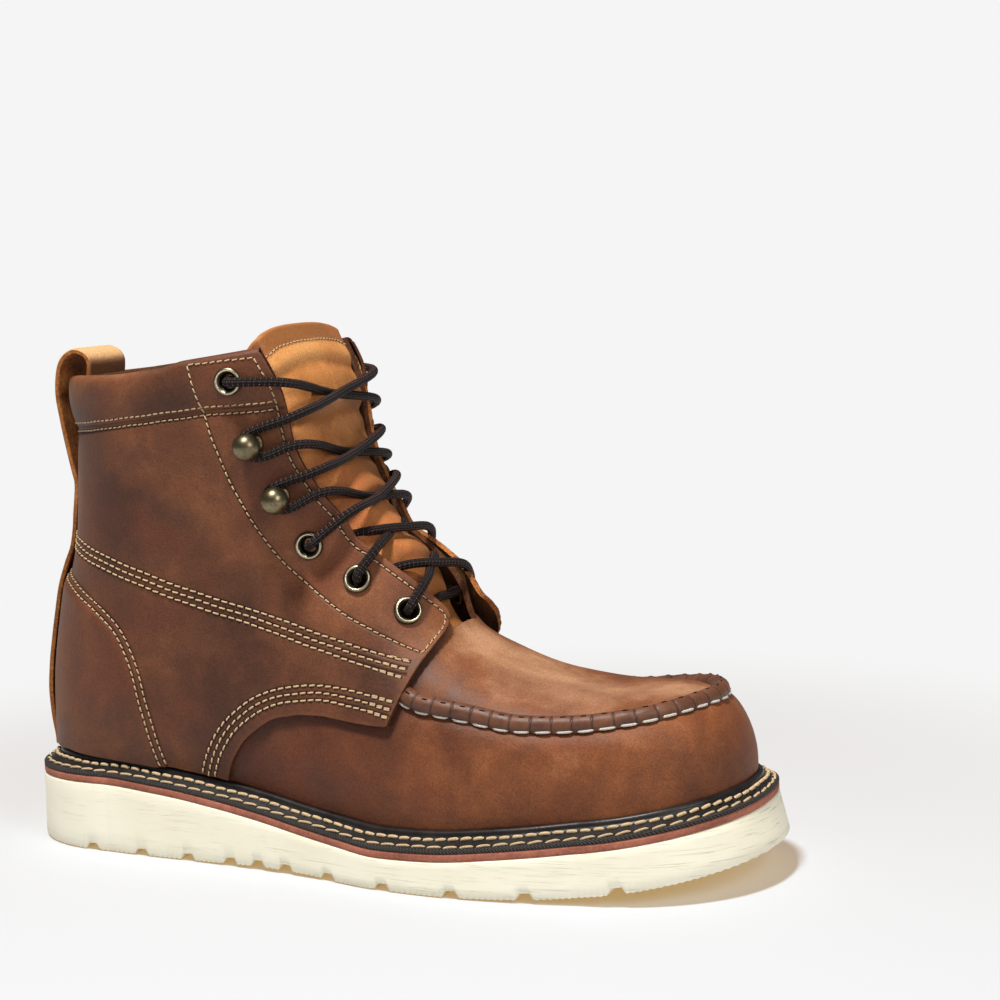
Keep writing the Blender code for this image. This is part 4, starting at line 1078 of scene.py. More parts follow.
# Patches where the oiled leather is paler (above 0) or darker, partly its own uneven colour and partly
# painted light: the strong pale ones on the vamp's top and beside the eyestay are painted highlights. x,
# y, z of the middle, radius, strength
TONE_AND_HIGHLIGHT_PATCHES = (
    (205, 0, 74, 26, 1.15), (234, -14, 68, 20, 1.00), (262, 4, 66, 18, 0.85),
    (238, -42, 42, 18, 0.25), (186, -48, 32, 16, 0.35), (162, -42, 66, 13, -0.50),
    (104, -35, 90, 20, -0.40), (152, -28, 100, 20, 0.45), (126, -31, 116, 15, 0.45),
    (82, -41, 172, 17, -0.35), (108, -40, 178, 13, 0.25), (56, -36, 128, 20, -0.60),
    (75, -40, 153, 14, 0.40), (110, -36, 34, 16, -0.60), (29, -26, 70, 20, -0.15),
    (62, -32, 44, 16, 0.15), (97, -38, 56, 14, -0.30), (205, 40, 50, 20, 0.25),
    (245, 42, 42, 18, -0.25), (160, 40, 60, 24, -0.25), (268, -24, 53, 13, 0.22),
    (90, 38, 110, 28, 0.30), (60, 38, 160, 26, -0.35), (50, 30, 60, 22, -0.25),
    (120, 38, 140, 22, -0.30), (64, -40, 189, 13, 0.80), (38, -30, 160, 13, -0.55),
    (187, -8, 82, 13, 0.55),
)


def tone(points):
    """How pale (up to 1) or dark (down to -1) the leather is by its place on the boot: its own tone mixed
    with painted highlights.
    """
    total = np.zeros(points.shape[:-1])
    for x, y, z, radius, strength in TONE_AND_HIGHLIGHT_PATCHES:
        off = points - np.array([x, y, z])
        total += strength * np.exp(-(off ** 2).sum(-1) / radius ** 2)
    return np.clip(total, -1, 1.2)


def closing(count, length):
    """Shares from 0 to 1 that stand closer together at both ends."""
    near = np.array(EDGE_STEPS) / length
    middle = np.linspace(near[-1], 1 - near[-1], count)[1:-1]
    return np.concatenate([near, middle, 1 - near[::-1]])


def sewn(side, path, height):
    """A side view path on the leather of one side: its points at a height, and the way out there."""
    u, t = seen(side, path)
    out = out_of_last(u, side, t)
    return on_last(u, side, t) + out * height, out


def panel_end(u, side):
    return np.minimum(line("end", u, side), END_T)


def front_edge(t, side):
    """Station of a quarter's front edge at t."""
    further = MEDIAL_REACH * ease((0.46 - t) / 0.2) if side == MEDIAL else 0.0
    return along(QUARTER_EDGE, t) - further


def stay_corner(u, side, t, inset):
    """How far the eyestay's rounded front corner is set back, in steps of u, on a line inside it."""
    radius = STAY_CORNER[side] - inset
    inside = np.clip(from_laces(u, side, t) - inset, 0, radius)
    return (radius - np.sqrt(radius ** 2 - (radius - inside) ** 2)) / FRONT_STEP


def from_laces(u, side, t):
    """Distance from the laced edge, in millimetres."""
    return (t - edge_t(u, side)) * line("length", u, side)


def from_seam(u, side, t):
    """Distance below the toe seam, in millimetres."""
    return (t - along(MOC_LINE, u)) * line("length", u, side)


def below_collar(u, t):
    """Distance below the collar's seam, in millimetres."""
    return (along(COLLAR_SEAM, t) - u) * COLLAR_STEP


def down_panel(u, side, share):
    """t part of the way down a panel, from the laced edge to its lower end."""
    edge = edge_t(u, side)
    return edge + (panel_end(u, side) - edge) * share


def settled(start, side, share, target):
    """Stations on a line that target gives over t, and t there, at shares of the way down a panel."""
    u = np.full(share.shape, start)
    for _ in range(SETTLE_ROUNDS):
        t = down_panel(u, side, share)
        u = 0.5 * u + 0.5 * target(t)
    return u, t


def quarter_places(side):
    """u and t of a grid over a quarter, from its front edge to the collar and from the laces down."""
    share = np.linspace(0, 1, RIM_COUNT)
    front, t = settled(THROAT, side, share, lambda t: front_edge(t, side))
    front = front + stay_corner(front, side, t, 0.0)
    rim = walk(on_last(front, side, t))
    even = 0.6 * rim / rim[-1] + 0.4 * share
    columns = np.interp(closing(PANEL_COUNT, RIM_LENGTH), even, share)
    front = np.interp(columns, share, front)
    top, _ = settled(13.0, side, columns, lambda t: along(COLLAR_SEAM, t) + COLLAR_LAP)
    steps = closing(PANEL_COUNT, PANEL_LENGTH)
    u = front[None, :] + (top - front)[None, :] * steps[:, None]
    return u, down_panel(u, side, columns[None, :])


def row_fields(side, points, rows, height):
    """Fields of the rows of stitching that the leather material draws grooves along."""
    fields = {}
    for name, path in rows:
        place, out = sewn(side, path, height)
        fields[name] = row_field(points, place, out * -side)
    return fields


TRIPLE_PATH = curve(TRIPLE_ROW, 1.5)
CURVE_PATH = curve(CURVE_ROW, 1.5)
STAY_PATH = curve(STAY_ROW, 1.5)


EDGE_THICK = 2.1
# How far the medial quarter stands off: at its front corner and along its laced edge
CORNER_CURL = 6.5
LACED_CURL = 2.4
STRETCH_COLUMNS = 91
# Stretches of the vamp and of the lining: from u, to u, rows
VAMP_PARTS = ((0.0, THROAT, 170), (THROAT, 7.4, 60))
LINING_PARTS = ((0.0, THROAT, 60), (THROAT, COLLAR, 120))


def quarter_height(u, side, t):
    """Height of a quarter's outer face over the last; it stands off the vamp along its front edge."""
    back = (u - front_edge(t, side)) * FRONT_STEP
    lift = 1.3 * bump(back, 9.0) * ease((0.6 - t) / 0.05)
    if side == MEDIAL:
        inside = from_laces(u, side, t)
        lift = lift + CORNER_CURL * bump(back, 13.0) * ease((0.44 - t) / 0.38)
        lift = lift + LACED_CURL * bump(inside, 5.0) * ease((8.5 - u) / 2.5) * ease(back / 12.0)
    waist = 0.8 * bump(below_collar(u, t), 5.0)
    return PANEL_OUT + lift - waist + creased(on_last(u, side, t))


def rim_wall(pieces, ring, low_ring, slot, levels=4):
    """Strip between two closed rings of points."""
    share = np.linspace(0, 1, levels)[:, None, None]
    pieces.grid(ring[None] * (1 - share) + low_ring[None] * share, slot, wrap=True)


def make_quarter(side, word):
    """One side panel; gives the line of its front edge."""
    pieces = Pieces()
    u, t = quarter_places(side)
    place = on_last(u, side, t)
    out = out_of_last(u, side, t)
    height = quarter_height(u, side, t)
    rim = border(place)
    gap, _ = nearest(place, spread(np.vstack([rim, rim[:1]]), RIM_STEP))
    gap = gap.reshape(u.shape)
    skin = place + out * (GAP + (height - GAP) * rounded(gap, 0.5, 0.72))[..., None]
    rows = (("rows_a", TRIPLE_PATH), ("rows_b", CURVE_PATH), ("rows_c", STAY_PATH))
    fields = row_fields(side, skin, rows, PANEL_OUT)
    inside = from_laces(u, side, t) - STAY_INSET
    below = below_collar(u, t) - COLLAR_INSET
    fields["rows_e"] = ROW_MARK + np.clip(inside, -ROW_REACH, ROW_REACH)
    fields["rows_d"] = ROW_MARK + np.clip(below, -ROW_REACH, ROW_REACH)
    fields["tone"] = tone(place)
    fields["wear"] = bump(gap, 0.9)
    pieces.grid(skin, 0, fields, out=out, punched=eyelet_axes(side))
    under = place + out * np.maximum(height - EDGE_THICK, 0.05)[..., None]
    pieces.grid(under, 2, out=-out, punched=eyelet_axes(side))
    rim_wall(pieces, border(skin), border(under), 1)
    # painted shade: the lateral quarter's cut edge takes the darkened raw edge, the medial one the flesh
    # side's own orange
    cut = SHADED_RAW_EDGE if side == LATERAL else FLESH
    pieces.make("panel_" + word, (LEATHER, cut, LINING), ("quarter_" + word,), "leather")
    return spread(place[0], RIM_STEP)


def out_near_tip(u, side, t):
    """Normals of the last, taken just off the toe tip and the ridge, where it has none of its own."""
    return out_of_last(np.maximum(u, 0.02), side, np.maximum(t, 0.004))


def stretch(low, high, count, side):
    """u and t of a grid between two stations, from the ridge or the laced edge to the lower end."""
    columns = np.linspace(0, 1, STRETCH_COLUMNS)
    u = np.repeat(np.linspace(low, high, count)[:, None], STRETCH_COLUMNS, 1)
    start = edge_t(u, side) if high > THROAT else np.zeros(u.shape)
    return u, start + (1 - start) * columns[None, :]


def moc_dip(u, t, side):
    """The leather pulls in beside the toe seam."""
    return -0.9 * bump(from_seam(u, side, t), 5.5) * ease((MOC_END - u) / 0.15) * ease((u - 0.05) / 0.4)


def make_vamp(rims):
    """Leather of the foot, with painted shadow in a line along the quarters' front edges."""
    pieces = Pieces()
    for side in SIDES:
        for low, high, count in VAMP_PARTS:
            u, t = stretch(low, high, count, side)
            place = on_last(u, side, t)
            out = out_near_tip(u, side, t)
            height = creased(place) * ease(u / 0.4) * ease(t / 0.1) + moc_dip(u, t, side)
            deep = ease((u - front_edge(t, side) - 0.15) / 0.1)
            far, _ = nearest(place, rims[side])
            # painted shadow: darker within a few millimetres of each quarter's front edge, where the
            # lifted edge casts its shade
            darker_band = bump(far.reshape(u.shape), 2.4)
            # warm below the toe seam: painted warm light bounced from the sole
            fields = {"tone": tone(place) - darker_band, "warm": ease((from_seam(u, side, t) + 2.0) / 8.0)}
            skin = place + out * (height - 0.9 * deep)[..., None]
            pieces.grid(skin, 0, fields, out=out, punched=eyelet_axes(side))
    pieces.make("vamp_leather", (LEATHER,), ("upper",), "leather", weld=True)


def make_lining():
    """Inner face of the upper and its cut edge round the opening."""
    pieces = Pieces()
    for side in SIDES:
        for low, high, count in LINING_PARTS:
            u, t = stretch(low, high, count, side)
            place = on_last(u, side, t)
            out = out_near_tip(u, side, t)
            pieces.grid(place - out * BASE_WALL, 0, out=-out, punched=eyelet_axes(side))
        u = np.linspace(THROAT, COLLAR, 160)
        throat_t = np.linspace(0, edge_t(THROAT, side), 24)[:-1]
        t = np.concatenate([throat_t, edge_t(u, side)])
        u = np.concatenate([np.full(throat_t.shape, THROAT), u])
        place = on_last(u, side, t)
        out = out_near_tip(u, side, t)
        heights = np.linspace(0.0, -BASE_WALL, 5)[:, None, None]
        pieces.grid(place[None] + out[None] * heights, 1)
    pieces.make("upper_lining", (LINING, SHADED_RAW_EDGE), ("upper",), "leather")


make_vamp({LATERAL: make_quarter(LATERAL, "lateral"), MEDIAL: make_quarter(MEDIAL, "medial")})
make_lining()


# Heel counter, skived thin at its edge
COUNTER_INSET = 0.9
COUNTER_PATH = curve([(x, z) for z, x in COUNTER_EDGE][::-1], 1.0)


def counter_height(place, inside):
    """Height of the counter's outer face over the last at a distance inside its edge."""
    return PANEL_OUT + 0.1 + (COUNTER_OUT - PANEL_OUT - 0.1) * ease(inside / 6.5) + creased(place)


def make_counter():
    pieces = Pieces()
    on_back = FINE_U >= CORNER
    clear = FINE["low_z"][on_back] - welt_top(FINE["low_x"][on_back]) - PANEL_CLEAR
    join = float(np.interp(0, clear, FINE_U[on_back]))
    for side in SIDES:
        low, high = COUNTER_ROWS
        u = np.concatenate([np.linspace(low, join, 60), np.linspace(join, high, 61)[1:]])
        end = np.where(u >= join, 1.0, panel_end(u, side))
        edge = np.minimum(line("counter", u, side), end - 0.02)
        share = np.concatenate([np.linspace(0, 0.3, 25), np.linspace(0.3, 1, 30)[1:]])
        t = edge[:, None] + (end - edge)[:, None] * share[None, :]
        u = np.repeat(u[:, None], len(share), 1)
        place = on_last(u, side, t)
        out = out_of_last(u, side, t)
        lip, _ = sewn(side, COUNTER_PATH, 0.0)
        far, _ = nearest(place, spread(lip, 0.8))
        far = far.reshape(u.shape)
        skin = place + out * counter_height(place, far)[..., None]
        fields = row_fields(side, skin, (("rows_d", beside(COUNTER_PATH, COUNTER_INSET)),), COUNTER_OUT)
        fields["tone"] = tone(place)
        pieces.grid(skin, 0, fields, out=out)
    pieces.make("heel_counter", (LEATHER,), ("counter",), "leather", weld=True)


make_counter()


# Collar band, rolled over the top of the shaft
COLLAR_START = 0.02
COLLAR_MIDDLE = 13.4
COLLAR_LENGTH = 100.0
COLLAR_TOP = COLLAR - 0.12
# The roll over the top: height above the last's top edge, distance out of the last
COLLAR_ROLL = ((-1.6, 3.05), (-0.8, 2.65), (-0.1, 1.95), (0.3, 1.0), (0.4, -0.1), (0.2, -1.2),
               (-0.6, -2.2), (-1.8, -2.7), (-4.0, -2.9), (-8.0, -2.8), (-11.5, -2.5), (-12.0, -2.0))
# The top edge sags between the loop and the eyestay: depth, from x to x
COLLAR_SAG = (1.5, 36.0, 93.0)


def collar_height(u, side, t):
    """Height of the padded band's outer face over the last."""
    low = along(COLLAR_SEAM, t) + COLLAR_START
    step = np.clip((u - low) / (COLLAR_TOP - low), 0, 1)
    puff = np.sqrt(np.sin(math.pi * (0.03 + 0.70 * step)))
    return 0.3 + (COLLAR_OUT + 0.4) * puff + 0.3 * creased(on_last(u, side, t))


def round_band(u, side, share):
    """t part of the way round the shaft, from the laced edge to the back seam."""
    edge = edge_t(u, side)
    return edge + (1 - edge) * share


def collar_rows(side, share):
    """Points of the band on one side, from its lower seam up and over to the inside, and the way out."""
    rows = []
    outs = []
    low = along(COLLAR_SEAM, round_band(COLLAR_MIDDLE, side, share)) + COLLAR_START
    top_t = round_band(COLLAR, side, share)
    top = on_last(COLLAR, side, top_t)
    depth, back, front = COLLAR_SAG
    sag = depth * ease((top[:, 0] - back) / 32.0) * ease((front - top[:, 0]) / 11.0)
    high = COLLAR_TOP - sag / COLLAR_STEP
    for step in np.concatenate([[0, 0.01, 0.025, 0.05, 0.09], np.linspace(0.14, 1, 16)]):
        u = low + (high - low) * step
        t = round_band(u, side, share)
        out = out_of_last(u, side, t)
        rows.append(on_last(u, side, t) + out * collar_height(u, side, t)[:, None])
        outs.append(out)
    climb = unit(top - on_last(COLLAR - 0.1, side, top_t))
    for rise, away in COLLAR_ROLL:
        u = COLLAR + (min(rise, 0.0) - sag) / COLLAR_STEP
        out = out_of_last(u, side, top_t)
        place = on_last(u, side, top_t) + climb * max(rise, 0.0)
        rows.append(place + out * away)
        outs.append(out if away > -0.5 else -out)
    return np.array(rows), np.array(outs)


def make_collar():
    pieces = Pieces()
    for side in SIDES:
        share = np.concatenate([np.array(EDGE_STEPS[:7]) / COLLAR_LENGTH, np.linspace(0.03, 1, 80)])
        rows, outs = collar_rows(side, share)
        tuck = 1 - rounded(share * COLLAR_LENGTH, 0.8, 0.75)
        rows = rows - outs * (tuck * 1.2)[None, :, None]
        pieces.grid(rows, 0, {"tone": tone(rows)}, out=outs, punched=eyelet_axes(side))
        inner = rows[:, 0] - outs[:, 0] * 1.6
        pieces.grid(np.stack([rows[:, 0], (rows[:, 0] + inner) / 2, inner]), 1)
    band = pieces.make("collar_band", (LEATHER, SHADED_RAW_EDGE), ("collar",), "leather", weld=True)


make_collar()


# Strip up the back that ends in the pull loop
STAY_TUCK = 1.9
STAY_COUNT = 150
STAY_STATIONS = (9.27, *np.arange(9.4, 12.3, 0.3))
# height above which the loop's top is painted paler, as highlight
LOOP_PALE = 184.0


def stay_rows(share):
    """Outer and inner points of the strip at coarse stations, from the welt up and over the loop."""
    outer = []
    inner = []
    side = np.where(share < 0, LATERAL, MEDIAL)
    for u in STAY_STATIONS:
        over_counter = float(np.clip((COUNTER_ROWS[1] + 0.35 - u) / 0.5, 0, 1))
        tuck = STAY_TUCK * float(ease((9.95 - u) / 0.65))
        low = PANEL_OUT + 0.6 + over_counter * (COUNTER_OUT - PANEL_OUT) - tuck
        t = 1 - np.abs(share) * LOOP_HALF / line("length", np.full(share.shape, u), side)
        place = on_last(u, side, t)
        out = out_of_last(u, side, t)
        inner.append(place + out * low)
        outer.append(place + out * (low + LOOP_THICK - 0.2))
    path = curve(LOOP_PATH, 3.6)
    heading = unit(np.gradient(path, axis=0))
    for spot, way in zip(path, heading):
        wrap = LOOP_WRAP * float(np.clip((LOOP_FLAT - spot[1]) / (LOOP_FLAT - LOOP_PATH[0][1]), 0, 1))
        if spot[0] > LOOP_PATH[6][0]:
            wrap = 0.0
        x = spot[0] + wrap * share ** 2
        y = share * LOOP_HALF
        z = np.full(share.shape, spot[1])
        outer.append(np.stack([x, y, z], 1))
        inner.append(np.stack([x + way[1] * LOOP_THICK, y, z - way[0] * LOOP_THICK], 1))
    return np.array(outer), np.array(inner)


def finer_rows(rows, count):
    """Rows of points again, smooth between the given ones."""
    done = walk(rows[:, rows.shape[1] // 2])
    fine = np.linspace(0, done[-1], count)
    flat = rows.reshape(len(rows), -1)
    finer = np.stack([smooth(done, column, fine) for column in flat.T], 1)
    return finer.reshape((count,) + rows.shape[1:])


def make_backstay():
    pieces = Pieces()
    share = np.sin(np.linspace(-0.5, 0.5, 31) * math.pi)
    outer, inner = stay_rows(share)
    outer = finer_rows(outer, STAY_COUNT)
    inner = finer_rows(inner, STAY_COUNT)
    middle = (outer + inner) / 2
    inside = (1 - np.abs(share)) * LOOP_HALF
    soft = rounded(inside, 0.8, 0.6)[None, :, None]
    out = unit(outer - inner)
    skin = middle + (outer - middle) * soft
    back = middle + (inner - middle) * soft
    wear = np.repeat(bump(inside, 1.0)[None], STAY_COUNT, 0)
    # painted highlight on the loop's top, the strip below a little darker
    pale = 1.5 * ease((skin[..., 2] - LOOP_PALE) / 5.0) - 0.25
    pieces.grid(skin, 0, {"wear": wear, "tone": pale}, out=out)
    pieces.grid(back, 1, out=-out)
    rim_wall(pieces, border(skin), border(back), 1)
    pieces.make("back_strip", (STRIP_LEATHER, FLESH), ("backstay_loop",), "leather")


make_backstay()


# Rolled seam round the toe
# Outline of the roll: across, out
MOC_SHAPE = ((-3.4, -0.4), (-3.3, 0.9), (-2.8, 2.0), (-1.9, 2.9), (-0.8, 3.4), (0.4, 3.45), (1.5, 3.1),
             (2.5, 2.3), (3.1, 1.2), (3.3, -0.4))
PUCKER = 7.2
MOC_STEP = 0.3
# Rounds of softening along the seam, and more of them round the toe tip
MOC_ROUNDS = 30
TIP_ROUNDS = 900
TIP_WIDTH = 22.0
# Where the white thread and the dark dashes lie on the roll: across, out
MOC_FOOT = (3.2, 0.35)
MOC_DASH = (0.9, 3.3)


def moc_path():
    """Path of the toe seam on the last, from its lateral to its medial end, and the way out there."""
    signed = np.linspace(-MOC_END - 0.12, MOC_END + 0.12, 1201)
    side = np.where(signed < 0, LATERAL, MEDIAL)
    u = np.abs(signed)
    t = along(MOC_LINE, u)
    place = on_last(u, side, t)
    out = out_of_last(np.maximum(u, 0.03), side, np.maximum(t, 0.01))
    done = walk(place)
    even = np.linspace(0, done[-1], int(done[-1] / MOC_STEP))
    both = softened(places(np.concatenate([place, out], 1), done, even), MOC_ROUNDS)
    near_tip = bump(even - even[-1] / 2, TIP_WIDTH)[:, None]
    both = both + (softened(both, TIP_ROUNDS) - both) * near_tip
    return both[:, :3], unit(both[:, 3:]), even


def make_moc_seam():
    pieces = Pieces()
    path, out, done = moc_path()
    way = unit(np.gradient(path, axis=0))
    across = unit(np.cross(way, out))
    out = np.cross(across, way)
    pitch = done[-1] / int(done[-1] / PUCKER)
    off = np.abs((done / pitch + 0.5) % 1.0 - 0.5) * pitch
    # cut marks the crease at each pucker: the roll dips a little there and is painted dark as its shade
    cut = bump(off, 0.34)
    swell = 1 + 0.025 * np.cos(2 * math.pi * (done / pitch + 0.5)) - 0.09 * cut
    ends = ease(done / 4.0) * ease((done[-1] - done) / 4.0)
    shape = curve(MOC_SHAPE, 0.7)
    width = shape[:, 0][None] * (0.96 + 0.04 * swell)[:, None]
    height = shape[:, 1][None] * (swell * (0.45 + 0.55 * ends))[:, None]
    points = path[:, None] + across[:, None] * width[..., None] + out[:, None] * height[..., None]
    pucker = np.repeat(cut[:, None], shape.shape[0], 1)
    pieces.grid(points, 0, {"pucker": pucker}, out=np.repeat(out[:, None], shape.shape[0], 1))
    pieces.make("toe_seam", (SEAM,), ("moc_seam",), "leather")
    return path, out, across


MOC_PATH, MOC_OUT, MOC_ACROSS = make_moc_seam()


# Tongue
TONGUE_ROWS = (4.35, 4.7, 5.1, 5.6, 6.2, 6.9, 7.7, 8.6, 9.5, 10.4, 11.2, 12.0, 12.8, 13.5, 14.0)
TONGUE_WRAP = 13.0
TONGUE_DROP = BASE_WALL + 1.2 + TONGUE / 2
# How far the tongue bulges towards the full front of the last: u, share
TONGUE_BULGE = ((4.3, 1.0), (4.9, 0.97), (5.5, 0.62), (6, 0.46), (7, 0.32), (9, 0.24), (11, 0.16),
                (14, 0.08))
TONGUE_RISE = 8.0
TONGUE_EDGE = 0.7
# How far the tongue's top edge falls towards its corners: distance, power of the share of the half width
TONGUE_FALL = ((6.8, 2.5), (11.0, 6.0))
# How far the tongue sinks below the vamp's edge at the throat: u, depth
TONGUE_SINK = ((4.8, 0.0), (5.4, 4.5), (6.1, 3.5), (7.2, 0.0))
# How much darker the tongue is painted for each millimetre of depth in its folds: painted shade in the
# fold valleys, with some darker patina there
FOLD_SHADE_AND_PATINA = 0.45
# How pale or dark the tongue is along its length, as painted light and shade: painted shade low in the
# throat and between the laces, painted highlight near its top, and darker again at the top edge. Share of
# the length, tone
TONGUE_LIGHT_AND_SHADE = ((0.2, -0.9), (0.45, -0.35), (0.62, -0.55), (0.8, -0.25), (0.9, 0.25), (0.935, 0.3),
               (0.95, -0.7))
# Cross folds where the laces press on the tongue: share of the length, depth
TONGUE_FOLDS = ((0.30, 0.9), (0.385, 1.1), (0.50, 1.5), (0.63, 1.5), (0.76, 1.3), (0.88, 0.9))
TONGUE_COUNT = 190
TONGUE_LENGTH = 190.0
# Breadth of the tongue from its middle, for the steps near its edges
TONGUE_HALF = 40.0


def tongue_row(u, share):
    """Middle of the tongue's thickness across station u."""
    at = np.full(share.shape, u)
    side = np.where(share < 0, LATERAL, MEDIAL)
    edge = edge_t(at, side)
    drop = TONGUE_DROP + float(along(TONGUE_SINK, u))
    edges = {}
    for half in SIDES:
        rim_t = edge_t(u, half)
        edges[half] = on_last(u, half, rim_t) - drop * out_of_last(u, half, rim_t)
    under = np.clip((np.abs(share) - TONGUE_EDGE) / (1 - TONGUE_EDGE), 0, 1) * TONGUE_WRAP
    wrap_t = edge + under / line("length", at, side)
    wrapped = on_last(at, side, wrap_t) - drop * out_of_last(at, side, wrap_t)
    free_t = edge * np.abs(share) / TONGUE_EDGE
    full = on_last(at, side, free_t) - drop * out_of_last(at, side, np.maximum(free_t, 0.012))
    cross = ((share / TONGUE_EDGE + 1) / 2)[:, None]
    chord = edges[LATERAL] + (edges[MEDIAL] - edges[LATERAL]) * cross
    free = chord + (full - chord) * float(along(TONGUE_BULGE, u))
    return np.where((np.abs(share) >= TONGUE_EDGE)[:, None], wrapped, free)


def tongue_middle(share):
    """Rows of the tongue's middle from under the vamp to its free top edge, cut round at its corners."""
    rows = [tongue_row(u, share) for u in TONGUE_ROWS]
    climb = unit(rows[-1] - rows[-2])
    for part in (0.25, 0.5, 0.75, 1.0):
        rows.append(rows[len(TONGUE_ROWS) - 1] + climb * (TONGUE_RISE * part))
    rows = finer_rows(np.array(rows), TONGUE_COUNT)
    fall = sum(depth * np.abs(share) ** power for depth, power in TONGUE_FALL)
    level = np.linspace(0, 1, len(rows))
    for k, cut in enumerate(fall):
        kept = level * (1 - cut / walk(rows[:, k])[-1])
        rows[:, k] = places(rows[:, k], level, kept)
    return rows


def tongue_folds(middle, share):
    """Height of the tongue's cross folds, in millimetres."""
    done = walk(middle[:, middle.shape[1] // 2])
    level = done[:, None] / done[-1]
    bend = 0.012 * share[None] ** 2
    total = np.zeros(middle.shape[:2])
    for place, depth in TONGUE_FOLDS:
        off = (level - place - bend + 0.006 * np.sin(5 * share[None] + 20 * place)) * done[-1]
        total += depth * (0.6 * bump(off - 4.5, 3.4) - bump(off, 2.8))
    return total * ease((1.0 - level) / 0.06)


def make_tongue():
    pieces = Pieces()
    near = np.array(EDGE_STEPS[:6]) / TONGUE_HALF
    share = np.concatenate([near - 1, np.linspace(-0.95, 0.95, 65), 1 - near[::-1]])
    middle = tongue_middle(share)
    out = unit(np.cross(np.gradient(middle, axis=1), np.gradient(middle, axis=0)))
    if out[100, len(share) // 2, 0] < 0:
        out = -out
    level = np.linspace(0, 1, len(middle))[:, None]
    gap = np.minimum((1 - np.abs(share))[None] * TONGUE_HALF, (1 - level) * TONGUE_LENGTH)
    half = TONGUE / 2 * rounded(gap, 1.3, 0.35)
    fold = tongue_folds(middle, share)
    skin = middle + out * (half + fold)[..., None]
    back = middle - out * half[..., None]
    # the tongue's tone: painted light and shade along its length, a random drift, and painted shade in
    # the folds
    shade = along(TONGUE_LIGHT_AND_SHADE, level) + 0.3 * drift(middle, 9.0, 1.9) + FOLD_SHADE_AND_PATINA * np.minimum(fold, 0)
    pieces.grid(skin, 0, {"wear": bump(gap, 1.0), "tone": shade}, out=out)
    pieces.grid(back, 0, out=-out)
    rim_wall(pieces, border(skin), border(back), 0)
    pieces.make("tongue_piece", (LIT_TONGUE_LEATHER,), ("tongue",), "tongue_leather")
    return skin, out


TONGUE_SKIN, TONGUE_OUT = make_tongue()


# Sole
TOOTH = 2.2
TOOTH_DEPTH = 0.45


def notch_share(x):
    """1 on the floor of a cross notch, 0 outside the notches."""
    total = np.zeros(np.shape(x))
    slope = (NOTCH_MOUTH - NOTCH_FLOOR) / 2
    for place in NOTCH_X:
        total = np.maximum(total, np.clip((NOTCH_MOUTH / 2 - np.abs(x - place)) / slope, 0, 1))
    return total


def tread_height(x):
    """Height of the tread with its cross notches."""
    return along(SOLE_PROFILE, x, 2) + NOTCH_DEPTH * notch_share(x)


def toothed(x):
    """The tread with its fine saw teeth between the notches."""
    wave = np.abs((x / TOOTH) % 1.0 - 0.5) * 2
    return tread_height(x) + TOOTH_DEPTH * wave * (notch_share(x) == 0)


def block(low_plan, low, high_plan, high, share, levels):
    """Closed layer of the sole. Levels round its wall off: share of the height, distance it draws in."""
    pieces = Pieces()
    low_x = low_plan.first + (low_plan.last - low_plan.first) * share
    high_x = high_plan.first + (high_plan.last - high_plan.first) * share
    walls = {}
    for side in SIDES:
        rows = []
        for part, inset in levels:
            x = low_x + (high_x - low_x) * part
            y = low_plan.y(low_x, side) * (1 - part) + high_plan.y(high_x, side) * part
            z = low(low_x) * (1 - part) + high(high_x) * part
            middle = x.mean()
            x = x - inset * ((x - middle) / (x.max() - middle)) ** 9
            y = y - side * inset * np.clip(np.abs(y - centre(x)) / 4.0, 0, 1)
            rows.append(np.stack([x, y, z], 1))
        walls[side] = np.array(rows)
        away = np.zeros(walls[side].shape)
        away[..., 1] = side
        pieces.grid(walls[side], out=away)
    for row, way in ((0, -1.0), (-1, 1.0)):
        across = np.linspace(0, 1, 9)[:, None, None]
        cap = walls[LATERAL][row][None] * (1 - across) + walls[MEDIAL][row][None] * across
        away = np.zeros(cap.shape)
        away[..., 2] = way
        pieces.grid(cap, out=away)
    return pieces


def stations(count):
    """Shares of a plan's length, closer together at its round ends."""
    turn = (1 - np.cos(np.linspace(0, math.pi, count))) / 2
    return np.unique(np.concatenate([turn, np.linspace(0, 1, count)]))


def make_outsole():
    levels = ((0.0, 0.9), (0.02, 0.35), (0.06, 0.0), (0.3, 0.0), (0.55, 0.0), (0.8, 0.0), (0.96, 0.0),
              (0.99, 0.2), (1.0, 0.5))
    pieces = block(TREAD_PLAN, toothed, SOLE_PLAN, sole_top, stations(460), levels)
    pieces.make("wedge_outsole", (OUTSOLE,), ("outsole",), "outsole_rubber", weld=True)


def midsole_low(x):
    return sole_top(x) + 0.05


def midsole_high(x):
    return sole_top(x) + MIDSOLE - 0.2


def make_midsole():
    levels = ((0.0, 0.5), (0.12, 0.1), (0.3, 0.0), (0.7, 0.0), (0.88, 0.1), (1.0, 0.5))
    pieces = block(SOLE_PLAN, midsole_low, SOLE_PLAN, midsole_high, stations(160), levels)
    pieces.make("midsole_layer", (MIDSOLE_SHEET,), ("midsole",), "midsole_rubber", weld=True)


def insole_high(x):
    return feather_z(x) + INSOLE


def make_insole():
    plan = Plan(-BASE_WALL - 0.6, -BASE_WALL - 2.6)
    levels = ((0.0, 0.2), (0.3, 0.0), (0.7, 0.0), (0.9, 0.25), (1.0, 0.8))
    pieces = block(plan, feather_z, plan, insole_high, stations(120), levels)
    pieces.make("sock_liner", (SOCK,), ("insole",), "insole_fabric", weld=True)


make_outsole()
make_midsole()
make_insole()


